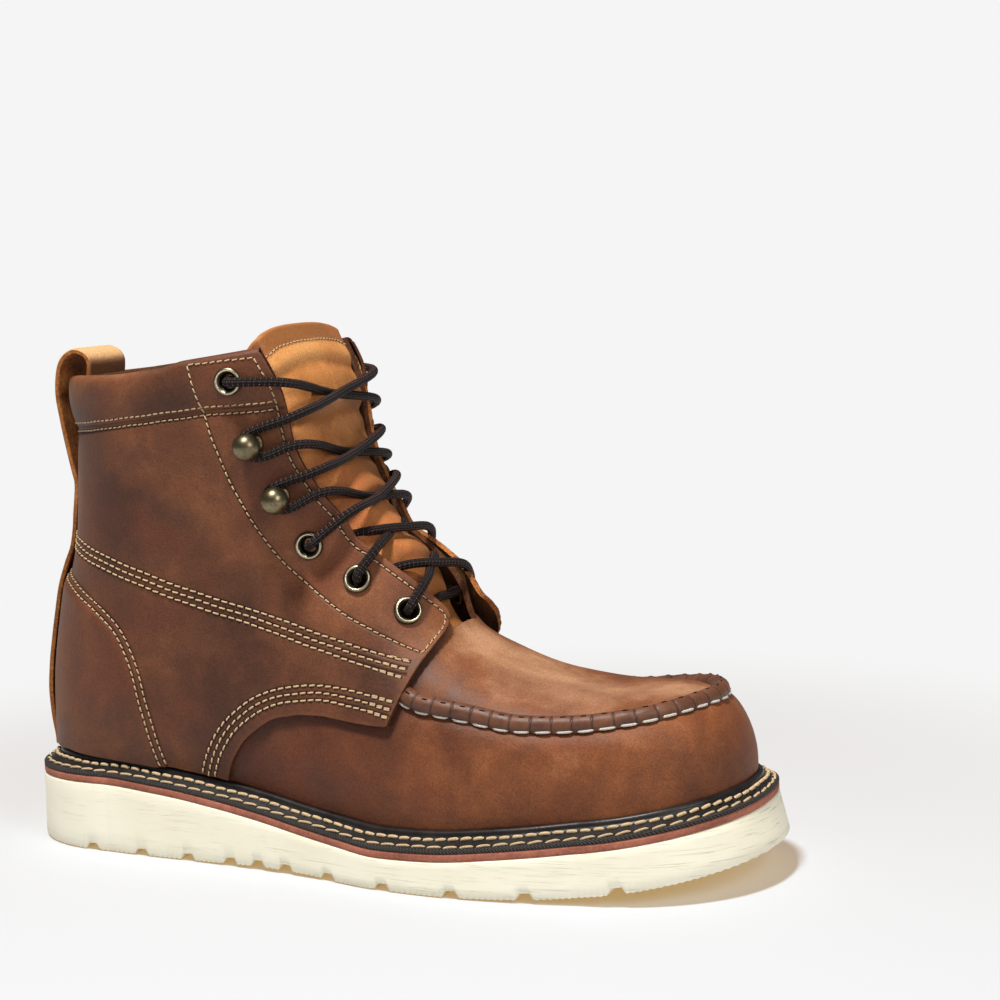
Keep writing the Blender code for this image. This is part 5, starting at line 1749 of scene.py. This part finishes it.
# Welt
def wall_cloud():
    """Points of the last near the sole."""
    low = []
    for side in SIDES:
        wall = LAST[side][GRID_U <= CORNER + 1]
        fine = np.concatenate([wall[:, :-1], (wall[:, :-1] + wall[:, 1:]) / 2], 1).reshape(-1, 3)
        low.append(fine[fine[:, 2] < welt_top(fine[:, 0]) + 4])
    return np.concatenate(low)


def wall_reach(cloud, level, place, out):
    """How far the upper stands out over a place of the feather line, among the points at one level."""
    offset = cloud[level][:, :2] - place
    near = np.abs(offset[:, 0] * out[1] - offset[:, 1] * out[0]) < 1.6
    found = (offset @ out)[near]
    found = found[np.abs(found) < 12]
    return max(float(found.max()), 0.0) if len(found) else 0.0


def welt_sections():
    """Places round the feather line, the way out, how far the welt goes, its foot and its crest there."""
    loop, away = outline(0.0, 0.0)
    cloud = wall_cloud()
    over = cloud[:, 2] - sole_top(cloud[:, 0]) - MIDSOLE
    levels = [np.abs(over - height) < 1.0 for height in (GAP, WELT, WELT + WELT_BEAD)]
    coarse = np.arange(0, len(loop), 6)
    found = np.array([[wall_reach(cloud, level, loop[k], away[k]) for level in levels] for k in coarse])
    every = np.arange(len(loop))
    foot = np.interp(every, coarse, found[:, 0], period=len(loop)) + 0.6
    crest = np.interp(every, coarse, found[:, 1:].max(1), period=len(loop)) + 0.8
    for _ in range(12):
        crest = (np.roll(crest, 1) + 2 * crest + np.roll(crest, -1)) / 4
        foot = (np.roll(foot, 1) + 2 * foot + np.roll(foot, -1)) / 4
    full = REACH_END + (REACH_SIDE - REACH_END) * away[:, 1] ** 2
    return loop, away, full, foot, crest


WELT_LOOP, WELT_AWAY, WELT_FULL, WELT_FOOT, WELT_CREST = welt_sections()


WELT_SLOPE = 1.4
WELT_BEAD_OUT = np.minimum(WELT_CREST + 1.2, WELT_FULL - 4.0)


def round_welt(distance, height):
    """Points round the welt at a distance from the feather line and a height above the midsole."""
    flat = WELT_LOOP + WELT_AWAY * distance[:, None]
    z = sole_top(flat[:, 0]) + MIDSOLE + height
    return np.concatenate([flat, z[:, None]], 1)


def make_welt():
    pieces = Pieces()
    top = WELT + WELT_BEAD
    bead = WELT_BEAD_OUT
    strip = WELT_FULL - bead
    foot = WELT + WELT_SLOPE
    lip = WELT - WELT_SLOPE
    crown = top - foot
    # Section: distance from the feather line, height, whether it bears tool marks, way across the map
    shape = (
        (WELT_FOOT, -0.3, 0.0, 0),
        (WELT_FULL - 0.3, -0.3, 0.5, 3),
        (WELT_FULL, -0.1, 1.0, 3.5),
        (WELT_FULL, lip - 0.35, 1.0, 4.5),
        (WELT_FULL - 0.2, lip, 1.0, 5.5),
        (bead + 0.84 * strip, lip + 0.15, 1.0, 6),
        (bead + 0.76 * strip, lip + 0.25, 0.0, 7),
        (bead + 0.5 * strip, lip + 0.8, 0.0, 8),
        (bead + 0.2 * strip, foot - 0.4, 0.0, 9),
        (bead, foot, 0.0, 10),
        (bead - 0.05, foot + 0.35 * crown, 0.0, 11),
        (bead - 0.35, foot + 0.68 * crown, 0.0, 12),
        (bead - 0.9, foot + 0.92 * crown, 0.0, 13),
        (bead - 1.6, top, 0.0, 14),
        (bead - 2.4, top - 0.2, 0.0, 15),
        (bead - 3.2, top - 0.9, 0.0, 16),
    )
    rows = np.array([round_welt(distance, height) for distance, height, _, _ in shape])
    marked = np.repeat(np.array([[mark] for _, _, mark, _ in shape]), len(WELT_LOOP), 1)
    done = walk(np.concatenate([WELT_LOOP, WELT_LOOP[:1]]))[:-1]
    across = np.array([way for _, _, _, way in shape])
    uv = np.stack(np.broadcast_arrays(done[None, :], across[:, None]), -1)
    out = np.zeros(rows.shape)
    out[..., :2] = WELT_AWAY[None]
    out[..., 2] = 1.0
    pieces.grid(rows, 0, {"marked": marked}, uv, out=out, wrap=True)
    pieces.make("storm_welt", (WELT_BLACK,), ("welt",), "welt_rubber")


make_welt()


# Lace fittings
HOOK_NECK = 1.9
# Neck and flange of a hook: radius, height above the leather
HOOK_FOOT = ((HOOK_NECK, 2.2), (2.1, 1.5), (2.9, 1.15), (3.9, 0.95), (4.25, 0.6), (4.3, 0.0), (4.2, -1.2))


def lathe(pieces, profile, place, out, segments=44):
    """Shape turned about the direction out; its profile is radius, height and how bright the brass is:
    polished by use and painted highlight.
    """
    side_way = unit(np.cross(out, (0.0, 0.0, 1.0)))
    up_way = np.cross(side_way, out)
    turn = np.linspace(0, 2 * math.pi, segments, endpoint=False)
    way = side_way[None] * np.cos(turn)[:, None] + up_way[None] * np.sin(turn)[:, None]
    radius, height, wear_and_glint_share = np.asarray(profile, float).T[:, :, None, None]
    rings = place + way[None] * radius + out * height
    facing = out * np.gradient(radius, axis=0) - way[None] * np.gradient(height, axis=0)
    pieces.grid(rings, 0, {"wear": np.repeat(wear_and_glint_share[..., 0], segments, 1)}, out=facing, wrap=True)


def seat(u):
    """Height of the leather's outer face under a fitting at station u."""
    return COLLAR_OUT if u > 13.0 else PANEL_OUT


def fitting(index, side):
    _, u, t = FITTINGS[index]
    return on_last(u, side, t), out_of_last(u, side, t), seat(u) + 2 * GAP


def eyelet_profile(base):
    """From the clinched inner end through the bore, up its funnel, over the rim and down outside it."""
    inside = -BASE_WALL - 0.7
    bore = EYELET_BORE
    rim = EYELET_FLANGE
    # the third value is how bright the brass is: polished by use, with a painted highlight along the
    # rim's crest
    return (
        (bore + 2.0, inside + 0.3, 0.0), (bore + 1.4, inside - 0.3, 0.2), (bore + 0.6, inside - 0.4, 0.2),
        (bore, inside + 0.2, 0.0), (bore, 0.0, 0.0), (bore + 0.1, base - 0.6, 0.0),
        (bore + 0.5, base, 0.0), (rim - 1.55, base + 0.55, 0.3), (rim - 1.3, base + 0.9, 0.9),
        (rim - 1.05, base + 1.1, 1.0),
        (rim - 0.75, base + 1.05, 0.45), (rim - 0.4, base + 0.8, 0.05), (rim - 0.1, base + 0.45, 0.0),
        (rim, base + 0.1, 0.0), (rim - 0.1, base - 1.2, 0.0),
    )


def hook_profile(base):
    """From the top of the ball down its neck to the flange on the leather."""
    ball = base + 2.6 + HOOK_BALL
    neck = math.asin(HOOK_NECK / HOOK_BALL)
    turns = np.linspace(0.02, math.pi - neck, 22)
    profile = [(HOOK_BALL * math.sin(turn), ball + HOOK_BALL * math.cos(turn), 0.0) for turn in turns]
    return profile + [(radius, base + height, 0.0) for radius, height in HOOK_FOOT]


def make_fittings():
    for side, word in ((LATERAL, "lateral"), (MEDIAL, "medial")):
        counts = {"eyelet": 0, "hook": 0}
        for index, (kind, _, _) in enumerate(FITTINGS):
            counts[kind] += 1
            place, out, base = fitting(index, side)
            pieces = Pieces()
            profile = eyelet_profile(base) if kind == "eyelet" else hook_profile(base)
            lathe(pieces, profile, place, out)
            node = f"{kind}_{word}_{counts[kind]}"
            own = DARK_BRASS if kind == "eyelet" else BRASS
            pieces.make("brass_" + node, (own,), (node,), "brass")


make_fittings()


# Lace
LACE_STEP = 0.8
LACE_SIDES = 14
LACE_ROUNDS = 3
# How far the lace stands out of an eyelet on both sides
LACE_INSIDE = 3.2
LACE_OUTSIDE = 1.4
# How far a strand is lifted off the tongue where it crosses over or under the other one
LACE_OVER = 4.2
LACE_UNDER = 1.0
HOOK_WRAP = 4.0
HOOK_HEIGHT = 2.8


def flowing(points, step):
    """Smooth path that passes through all the points and may swing wide between them."""
    points = np.asarray(points, float)
    done = walk(points)
    gap = np.diff(done)
    slope = np.diff(points, axis=0) / gap[:, None]
    tangent = np.empty_like(points)
    weighed = slope[:-1] * gap[1:, None] + slope[1:] * gap[:-1, None]
    tangent[1:-1] = weighed / (gap[1:] + gap[:-1])[:, None]
    tangent[0] = slope[0]
    tangent[-1] = slope[-1]
    fine = np.linspace(0, done[-1], int(done[-1] / step) + 1)
    i = np.clip(np.searchsorted(done, fine) - 1, 0, len(gap) - 1)
    f = ((fine - done[i]) / gap[i])[:, None]
    reach = gap[i][:, None]
    low = points[i] * (1 + 2 * f) * (1 - f) ** 2 + reach * tangent[i] * f * (1 - f) ** 2
    high = points[i + 1] * f * f * (3 - 2 * f) + reach * tangent[i + 1] * f * f * (f - 1)
    return spread(low + high, step)


def hole(index, side, inwards):
    """Points of a lace that goes through an eyelet."""
    place, out, base = fitting(index, side)
    points = [place - out * (BASE_WALL + LACE_INSIDE), place, place + out * (base + LACE_OUTSIDE)]
    return points[::-1] if inwards else points


def wrap(index, side):
    """Points of a lace that comes from below and goes round the neck of a hook."""
    _, u, t = FITTINGS[index]
    place, out, base = fitting(index, side)
    up = on_last(u + 0.05, side, t) - on_last(u - 0.05, side, t)
    up = unit(up - out * np.dot(up, out))
    away = on_last(u, side, t + 0.01) - on_last(u, side, t - 0.01)
    away = unit(away - out * np.dot(away, out) - up * np.dot(away, up))
    middle = place + out * (base + HOOK_HEIGHT)
    turns = np.radians([-75, -38, 0, 38, 75])
    return [middle + HOOK_WRAP * (away * math.cos(turn) + up * math.sin(turn)) for turn in turns]


def at_edge(level, side, share, over):
    """Where a strand passes over or under the laced edge, part of the way between two fittings."""
    u = FITTINGS[level][1] + share * (FITTINGS[level + 1][1] - FITTINGS[level][1])
    t = edge_t(u, side)
    height = seat(u) + LACE_RADIUS + 0.5 if over else -BASE_WALL - LACE_RADIUS
    return on_last(u, side, t) + out_of_last(u, side, t) * height


def crossing(level, start, rising, over_start, over_end, lift):
    """Points of a strand between the laced edges: over or under each, with its middle lifted."""
    first = at_edge(level, start, 0.2 if rising else 0.8, over_start)
    last = at_edge(level, -start, 0.8 if rising else 0.2, over_end)
    u = (FITTINGS[level][1] + FITTINGS[level + 1][1]) / 2
    front = unit(out_of_last(u, LATERAL, edge_t(u, LATERAL)) + out_of_last(u, MEDIAL, edge_t(u, MEDIAL)))
    return [first, (first + last) / 2 + front * lift, last]


def on_tongue(place):
    """Three points over the tongue, level with a place, from its medial to its lateral side."""
    middle = TONGUE_SKIN.shape[1] // 2
    row = int(np.argmin(np.linalg.norm(TONGUE_SKIN[:, middle] - place, axis=1)))
    columns = [middle + 14, middle, middle - 14]
    return [TONGUE_SKIN[row, k] + TONGUE_OUT[row, k] * (LACE_RADIUS + 0.2) for k in columns]


def lace_route():
    """The lace from the lateral top eyelet down to the bottom bar and up to the medial top eyelet."""
    route = hole(5, LATERAL, False)
    route += crossing(4, LATERAL, False, True, True, LACE_UNDER)
    route += wrap(4, MEDIAL)[::-1]
    route += crossing(3, MEDIAL, False, True, True, LACE_OVER)
    route += wrap(3, LATERAL)[::-1]
    route += crossing(2, LATERAL, False, True, True, LACE_UNDER)
    route += hole(2, MEDIAL, True)
    route += crossing(1, MEDIAL, False, False, True, LACE_UNDER)
    route += hole(1, LATERAL, True)
    route += crossing(0, LATERAL, False, False, True, LACE_OVER)
    route += hole(0, MEDIAL, True)
    bar = at_edge(0, MEDIAL, -0.12, False)
    far_bar = at_edge(0, LATERAL, -0.12, False)
    route += [bar, *on_tongue((bar + far_bar) / 2), far_bar]
    route += hole(0, LATERAL, False)
    route += crossing(0, LATERAL, True, True, False, LACE_UNDER)
    route += hole(1, MEDIAL, False)
    route += crossing(1, MEDIAL, True, True, False, LACE_OVER)
    route += hole(2, LATERAL, False)
    route += crossing(2, LATERAL, True, True, True, LACE_OVER)
    route += wrap(3, MEDIAL)
    route += crossing(3, MEDIAL, True, True, True, LACE_UNDER)
    route += wrap(4, LATERAL)
    route += crossing(4, LATERAL, True, True, True, LACE_OVER)
    route += hole(5, MEDIAL, True)
    return softened(flowing(route, LACE_STEP), LACE_ROUNDS)


def tube(pieces, path, radius, sides):
    """Round tube along a path, with a map of the way round and the distance along it."""
    way = unit(np.gradient(path, axis=0))
    across = np.empty_like(path)
    side_way = unit(np.cross(way[0], (0.3, 0.2, 0.9)))
    for k, ahead in enumerate(way):
        side_way = unit(side_way - ahead * np.dot(side_way, ahead))
        across[k] = side_way
    over = np.cross(way, across)
    turn = np.linspace(0, 1, sides + 1)
    angle = 2 * math.pi * turn
    out = across[:, None] * np.cos(angle)[None, :, None] + over[:, None] * np.sin(angle)[None, :, None]
    done = walk(path)
    uv = np.stack(np.broadcast_arrays(turn[None, :], done[:, None]), -1)
    from_end = np.minimum(np.minimum(done, done[-1] - done) / radius, 1)
    girth = radius * np.sqrt(from_end * (2 - from_end))
    pieces.grid(path[:, None] + out * girth[:, None, None], uv=uv, out=out)


def make_lace():
    pieces = Pieces()
    tube(pieces, lace_route(), LACE_RADIUS, LACE_SIDES)
    nodes = [f"lace_cross_{k}" for k in range(1, 6)]
    pieces.make("lace_cord", (BRAID,), nodes, "lace_fabric", weld=True)


make_lace()


# Stitches
STITCH_STATIONS = 6
STITCH_SIDES = 6
# How far each stitch sways off its row and leans across it, in thread radii
STITCH_SWAY = 0.28
STITCH_LEAN = 0.35
# Length of the front end of a row that is sewn back over itself, and how far beside it
BACK_LENGTH = 10.0
BACK_BESIDE = 0.42
# Length of the stitches and of the dark marks of painted shade at the needle holes between them, as
# shares of the pitch, and those marks' girth
STITCH_SHARE = 0.92
HOLE_SHADE_SHARE = 0.24
HOLE_SHADE_THICK = 0.7
# Radius of the thread and of the dashes on the toe seam
TOE_THREAD = 0.5
TOE_DASH = 0.3
# Station where the row beside the laces ends
STAY_TOP = 13.82
# Pitch and thread radius of the rows on the upper
TRIPLE_SEWN = (3.2, 0.34)
BACK_SEWN = (3.2, 0.30)
EDGE_SEWN = (2.7, 0.28)
COLLAR_SEWN = (2.6, 0.25)
# Rows on the welt: share of the strip, height, pitch, stitch length, thread radius, slant, lean
WELT_ROWS = ((0.20, 0.95, 4.8, 4.5, 0.66, 0.1, 1.3), (0.68, -0.95, 6.2, 5.9, 0.52, 0.4, 0.9))


def stitches(pieces, path, out, pitch, length, radius, slant=0.0, count=None, shift=0.0):
    """A row of stitches on a path: each is a short arched tube that dips into the leather at its ends."""
    done = walk(path)
    count = count or max(int(done[-1] / pitch), 1)
    middle = (np.arange(count) + 0.5 + shift) * done[-1] / count
    share = np.linspace(-0.5, 0.5, STITCH_STATIONS)
    at = middle[:, None] + share[None, :] * length
    place = places(path, done, at)
    up = unit(places(out, done, at))
    way = unit(place[:, -1:] - place[:, :1])
    aside = unit(np.cross(up, way))
    near_end = (2 * np.abs(share)) ** 4
    rise = radius * (0.55 - 1.8 * near_end)
    thick = radius * (1 - 0.35 * near_end)
    lean = slant + STITCH_SWAY * radius * np.sin(12.9 * np.arange(count))
    off = STITCH_SWAY * radius * np.sin(7.3 * np.arange(count) + 1.0)
    sway = off[:, None] + lean[:, None] * 2 * share[None, :]
    place = place + up * rise[None, :, None] + aside * sway[..., None]
    angle = np.linspace(0, 2 * math.pi, STITCH_SIDES, endpoint=False)
    turn = angle[:, None]
    ring = aside[:, :, None] * np.cos(turn) + up[:, :, None] * np.sin(turn)
    points = place[:, :, None] + ring * thick[:, None, None]
    uv = np.empty(points.shape[:3] + (2,))
    uv[..., 0] = (share * length / radius)[:, None]
    uv[..., 1] = angle / (2 * math.pi)
    one = quads(STITCH_STATIONS, STITCH_SIDES, True)
    each = STITCH_STATIONS * STITCH_SIDES
    faces = (one[None] + (np.arange(count) * each)[:, None, None]).reshape(-1, 4)
    pieces.add(points, faces, 0, uv=uv)


def skin_height(u, side, t):
    """Height of the outer leather over the last, on the quarter or on the collar band."""
    low = along(COLLAR_SEAM, t) + COLLAR_START
    return np.where(u > low, collar_height(u, side, t), quarter_height(u, side, t))


def row_on(side, u, t, step=0.8):
    """Points of a row of stitching on the outer leather over places of the last, and the way out."""
    done = walk(on_last(u, side, t))
    fine = np.linspace(0, done[-1], max(int(done[-1] / step), 4))
    u = np.interp(fine, done, u)
    t = np.interp(fine, done, t)
    out = out_of_last(u, side, t)
    return on_last(u, side, t) + out * skin_height(u, side, t)[:, None], out


def beside_laces(u, side):
    """t of the row of stitching along the laced edge."""
    return edge_t(u, side) + STAY_INSET / line("length", u, side)


def stay_outline(side):
    """The row round the eyestay: down its rear edge, along its front end and up beside the laces."""
    rear_u, rear_t = seen(side, STAY_PATH)
    corner_t = beside_laces(5.5, side)
    front_t = np.linspace(rear_t[-1], corner_t, 60)
    front_u = front_edge(front_t, side) + STAY_INSET / FRONT_STEP
    front_u = front_u + stay_corner(front_u, side, front_t, STAY_INSET)
    lace_u = np.linspace(front_u[-1] + 0.03, STAY_TOP, 120)
    lace_t = beside_laces(lace_u, side)
    top_t = np.linspace(lace_t[-1], rear_t[0], 20)
    top_u = np.linspace(STAY_TOP, max(rear_u[0], STAY_TOP - 0.1), 20)
    u = np.concatenate([rear_u[-1:], front_u, lace_u])
    t = np.concatenate([rear_t[-1:], front_t, lace_t])
    return (rear_u, rear_t), (u, t), (top_u, top_t)


def counter_row(side, shift):
    """A row of stitching inside the counter's edge."""
    path = beside(COUNTER_PATH, shift)
    u, t = seen(side, path)
    keep = (t < 0.96) & (t < panel_end(u, side))
    place, out = sewn(side, path[keep], 0.0)
    return place + out * counter_height(place, shift)[:, None], out


def sewn_back(path, out):
    """The front end of a row a second time, a little beside it."""
    aside = unit(np.cross(out, np.gradient(path, axis=0)))
    if path[0, 0] > path[-1, 0]:
        path, out, aside = path[::-1], out[::-1], aside[::-1]
    done = walk(path)
    near = done > done[-1] - BACK_LENGTH
    return path[near] + aside[near] * BACK_BESIDE, out[near]


def upper_rows(side):
    """Rows of stitching on one side: points, the way out, pitch and thread radius."""
    rows = []
    for path in (TRIPLE_PATH, CURVE_PATH):
        for k in range(3):
            u, t = seen(side, beside(path, ROW_STEP * k))
            keep = t < panel_end(u, side) + 0.004
            row = row_on(side, u[keep], t[keep])
            rows.append((*row, *TRIPLE_SEWN))
            rows.append((*sewn_back(*row), *BACK_SEWN))
    for u, t in stay_outline(side):
        rows.append((*row_on(side, u, t), *EDGE_SEWN))
    t = np.linspace(edge_t(12.9, side) + 0.02, 0.985, 120)
    for shift in (0.055, -0.075):
        u = along(COLLAR_SEAM, t) + COLLAR_START + shift
        rows.append((*row_on(side, u, t), *COLLAR_SEWN))
    for shift in (COUNTER_INSET, COUNTER_INSET + PAIR_STEP):
        rows.append((*counter_row(side, shift), *EDGE_SEWN))
    return rows


def tongue_border():
    """The row of stitching inside the tongue's edge: up one side, round the top and down the other."""
    start = 110
    inset = 9
    top = len(TONGUE_SKIN) - 11
    last = TONGUE_SKIN.shape[1] - 1 - inset
    climb = np.arange(start, top)
    over = np.arange(inset, last)
    rows = np.concatenate([climb, np.full(len(over), top), climb[::-1]])
    columns = np.concatenate([np.full(len(climb), inset), over, np.full(len(climb), last)])
    return TONGUE_SKIN[rows, columns], TONGUE_OUT[rows, columns], *EDGE_SEWN


def make_upper_stitches():
    bright = Pieces()
    dark = Pieces()
    for path, out, pitch, radius in upper_rows(LATERAL) + upper_rows(MEDIAL) + [tongue_border()]:
        stitches(bright, path, out, pitch, pitch * STITCH_SHARE, radius, STITCH_LEAN * radius)
        # dark thread at each needle hole between the stitches: painted shade in the hole
        stitches(dark, path, out, pitch, pitch * HOLE_SHADE_SHARE, radius * HOLE_SHADE_THICK, shift=0.5)
    bright.make("upper_stitches", (CREAM_THREAD,), finish="lace_fabric")
    dark.make("needle_hole_painted_shade", (DARK_DASH_AND_HOLE_SHADE,), finish="lace_fabric")


def make_sole_stitches():
    pieces = Pieces()
    strip = WELT_FULL - WELT_BEAD_OUT
    for share, over, pitch, length, radius, slant, lean in WELT_ROWS:
        up = np.concatenate([WELT_AWAY * lean, np.ones((len(WELT_AWAY), 1))], 1)
        up = unit(np.concatenate([up, up[:1]]))
        ring = round_welt(WELT_BEAD_OUT + share * strip, WELT + over)
        stitches(pieces, np.concatenate([ring, ring[:1]]), up, pitch, length, radius, slant)
    pieces.make("welt_stitches", (WELT_THREAD,), finish="lace_fabric")


def make_toe_stitches():
    white = Pieces()
    dark = Pieces()
    count = int(walk(MOC_PATH)[-1] / PUCKER)
    low = MOC_PATH + MOC_ACROSS * MOC_FOOT[0] + MOC_OUT * MOC_FOOT[1]
    low_out = unit(MOC_OUT * 0.35 + MOC_ACROSS * np.sign(MOC_FOOT[0]))
    stitches(white, low, low_out, PUCKER, PUCKER * 0.96, TOE_THREAD, count=count)
    white.make("toe_thread", (WHITE_THREAD,), finish="lace_fabric")
    top = MOC_PATH - MOC_ACROSS * MOC_DASH[0] + MOC_OUT * MOC_DASH[1]
    stitches(dark, top, MOC_OUT, PUCKER, PUCKER * 0.4, TOE_DASH, count=count)
    dark.make("toe_dashes", (DARK_DASH_AND_HOLE_SHADE,), finish="lace_fabric")


make_upper_stitches()
make_sole_stitches()
make_toe_stitches()


# Floor, light and camera
PALE = (0.913, 0.913, 0.913)
# The floor's own colour and the glow that keeps its shadows pale and warm
FLOOR_TONE = (0.385, 0.488, 0.594)
FLOOR_GLOW = (0.316, 0.180, 0.060)
FLOOR_REACH = 6.0
FADE_NEAR = 0.17
FADE_FAR = 0.42
FILL = 0.15
# Name, place, target, size, watts, colour
LIGHTS = (
    ("key", (-0.10, -0.46, 1.48), (0.0, 0.0, 0.06), 0.24, 30.0, (1.0, 0.965, 0.92)),
    ("front", (0.90, -0.52, 0.72), (0.0, 0.0, 0.1), 0.6, 5.0, (1.0, 0.98, 0.95)),
)


def make_floor():
    """Pale floor that fades into the background away from the boot."""
    shade = Shade("pale_floor", 0.9, specular=0.1)
    shade.colour((*FLOOR_TONE, 1.0))
    flat = shade.moved(Scale=(1.0, 1.0, 0.0))
    far = shade.node("VectorMath", {0: flat}, operation="LENGTH").outputs["Value"]
    shade.feed(shade.shader.inputs["Emission Color"], (*FLOOR_GLOW, 1.0))
    shade.feed(shade.shader.inputs["Emission Strength"], 1.0)
    glow = shade.node("Emission", {"Color": (*PALE, 1.0), "Strength": 1.0})
    share = shade.node("MapRange", {"Value": far, "From Min": FADE_NEAR, "From Max": FADE_FAR},
                       interpolation_type="SMOOTHSTEP").outputs["Result"]
    near = shade.shader.outputs["BSDF"]
    mixed = shade.node("MixShader", {0: share, 1: near, 2: glow.outputs["Emission"]})
    shade.feed(shade.tree.nodes["Material Output"].inputs["Surface"], mixed.outputs["Shader"])
    corners = [(x * FLOOR_REACH, y * FLOOR_REACH, 0) for x, y in ((-1, -1), (1, -1), (1, 1), (-1, 1))]
    mesh = bpy.data.meshes.new("floor")
    mesh.from_pydata(corners, [], [(0, 1, 2, 3)])
    mesh.materials.append(shade.own)
    floor = bpy.data.objects.new("floor", mesh)
    bpy.context.scene.collection.objects.link(floor)


def placed(thing, right, up, back, place):
    """Puts a light or the camera at a place, looking away from its back, into the scene."""
    rows = [[*row, spot] for row, spot in zip(np.stack([right, up, back], 1), place)]
    thing.matrix_world = Matrix(rows + [[0, 0, 0, 1]])
    bpy.context.scene.collection.objects.link(thing)


def area_light(name, place, target, size, watts, colour):
    lamp = bpy.data.lights.new(name, "AREA")
    lamp.shape = "DISK"
    lamp.size = size
    lamp.energy = watts
    lamp.color = colour
    thing = bpy.data.objects.new(name, lamp)
    back = unit(np.array(place, float) - np.array(target, float))
    right = unit(np.cross((0.0, 1.0, 0.0), back))
    placed(thing, right, np.cross(back, right), back, place)


def make_light():
    world = bpy.data.worlds.new("studio")
    world.use_nodes = True
    tree = world.node_tree
    sky = tree.nodes["Background"]
    sky.inputs["Color"].default_value = (*PALE, 1.0)
    seen_sky = tree.nodes.new("ShaderNodeMapRange")
    seen_sky.inputs["To Min"].default_value = FILL
    seen_sky.inputs["To Max"].default_value = 1.0
    ray = tree.nodes.new("ShaderNodeLightPath")
    tree.links.new(ray.outputs["Is Camera Ray"], seen_sky.inputs["Value"])
    tree.links.new(seen_sky.outputs["Result"], sky.inputs["Strength"])
    bpy.context.scene.world = world
    bpy.context.scene.view_settings.view_transform = "Standard"
    for light in LIGHTS:
        area_light(*light)


CAMERA_PLACE = (0.34366, -0.70642, 0.22557)
CAMERA_TURN = math.radians(22.74)
CAMERA_LIFT = math.radians(6.87)
CAMERA_ROLL = math.radians(-1.97)
CAMERA_LENS = 76.63


def make_camera():
    right = np.array([math.cos(CAMERA_TURN), math.sin(CAMERA_TURN), 0.0])
    level = math.cos(CAMERA_LIFT)
    back = np.array([right[1] * level, -right[0] * level, math.sin(CAMERA_LIFT)])
    up = np.cross(back, right)
    across = right * math.cos(CAMERA_ROLL) + up * math.sin(CAMERA_ROLL)
    above = up * math.cos(CAMERA_ROLL) - right * math.sin(CAMERA_ROLL)
    lens = bpy.data.cameras.new("photo_camera")
    lens.lens = CAMERA_LENS
    lens.sensor_width = 36.0
    camera = bpy.data.objects.new("photo_camera", lens)
    placed(camera, across, above, back, CAMERA_PLACE)
    bpy.context.scene.camera = camera


make_floor()
make_light()
make_camera()
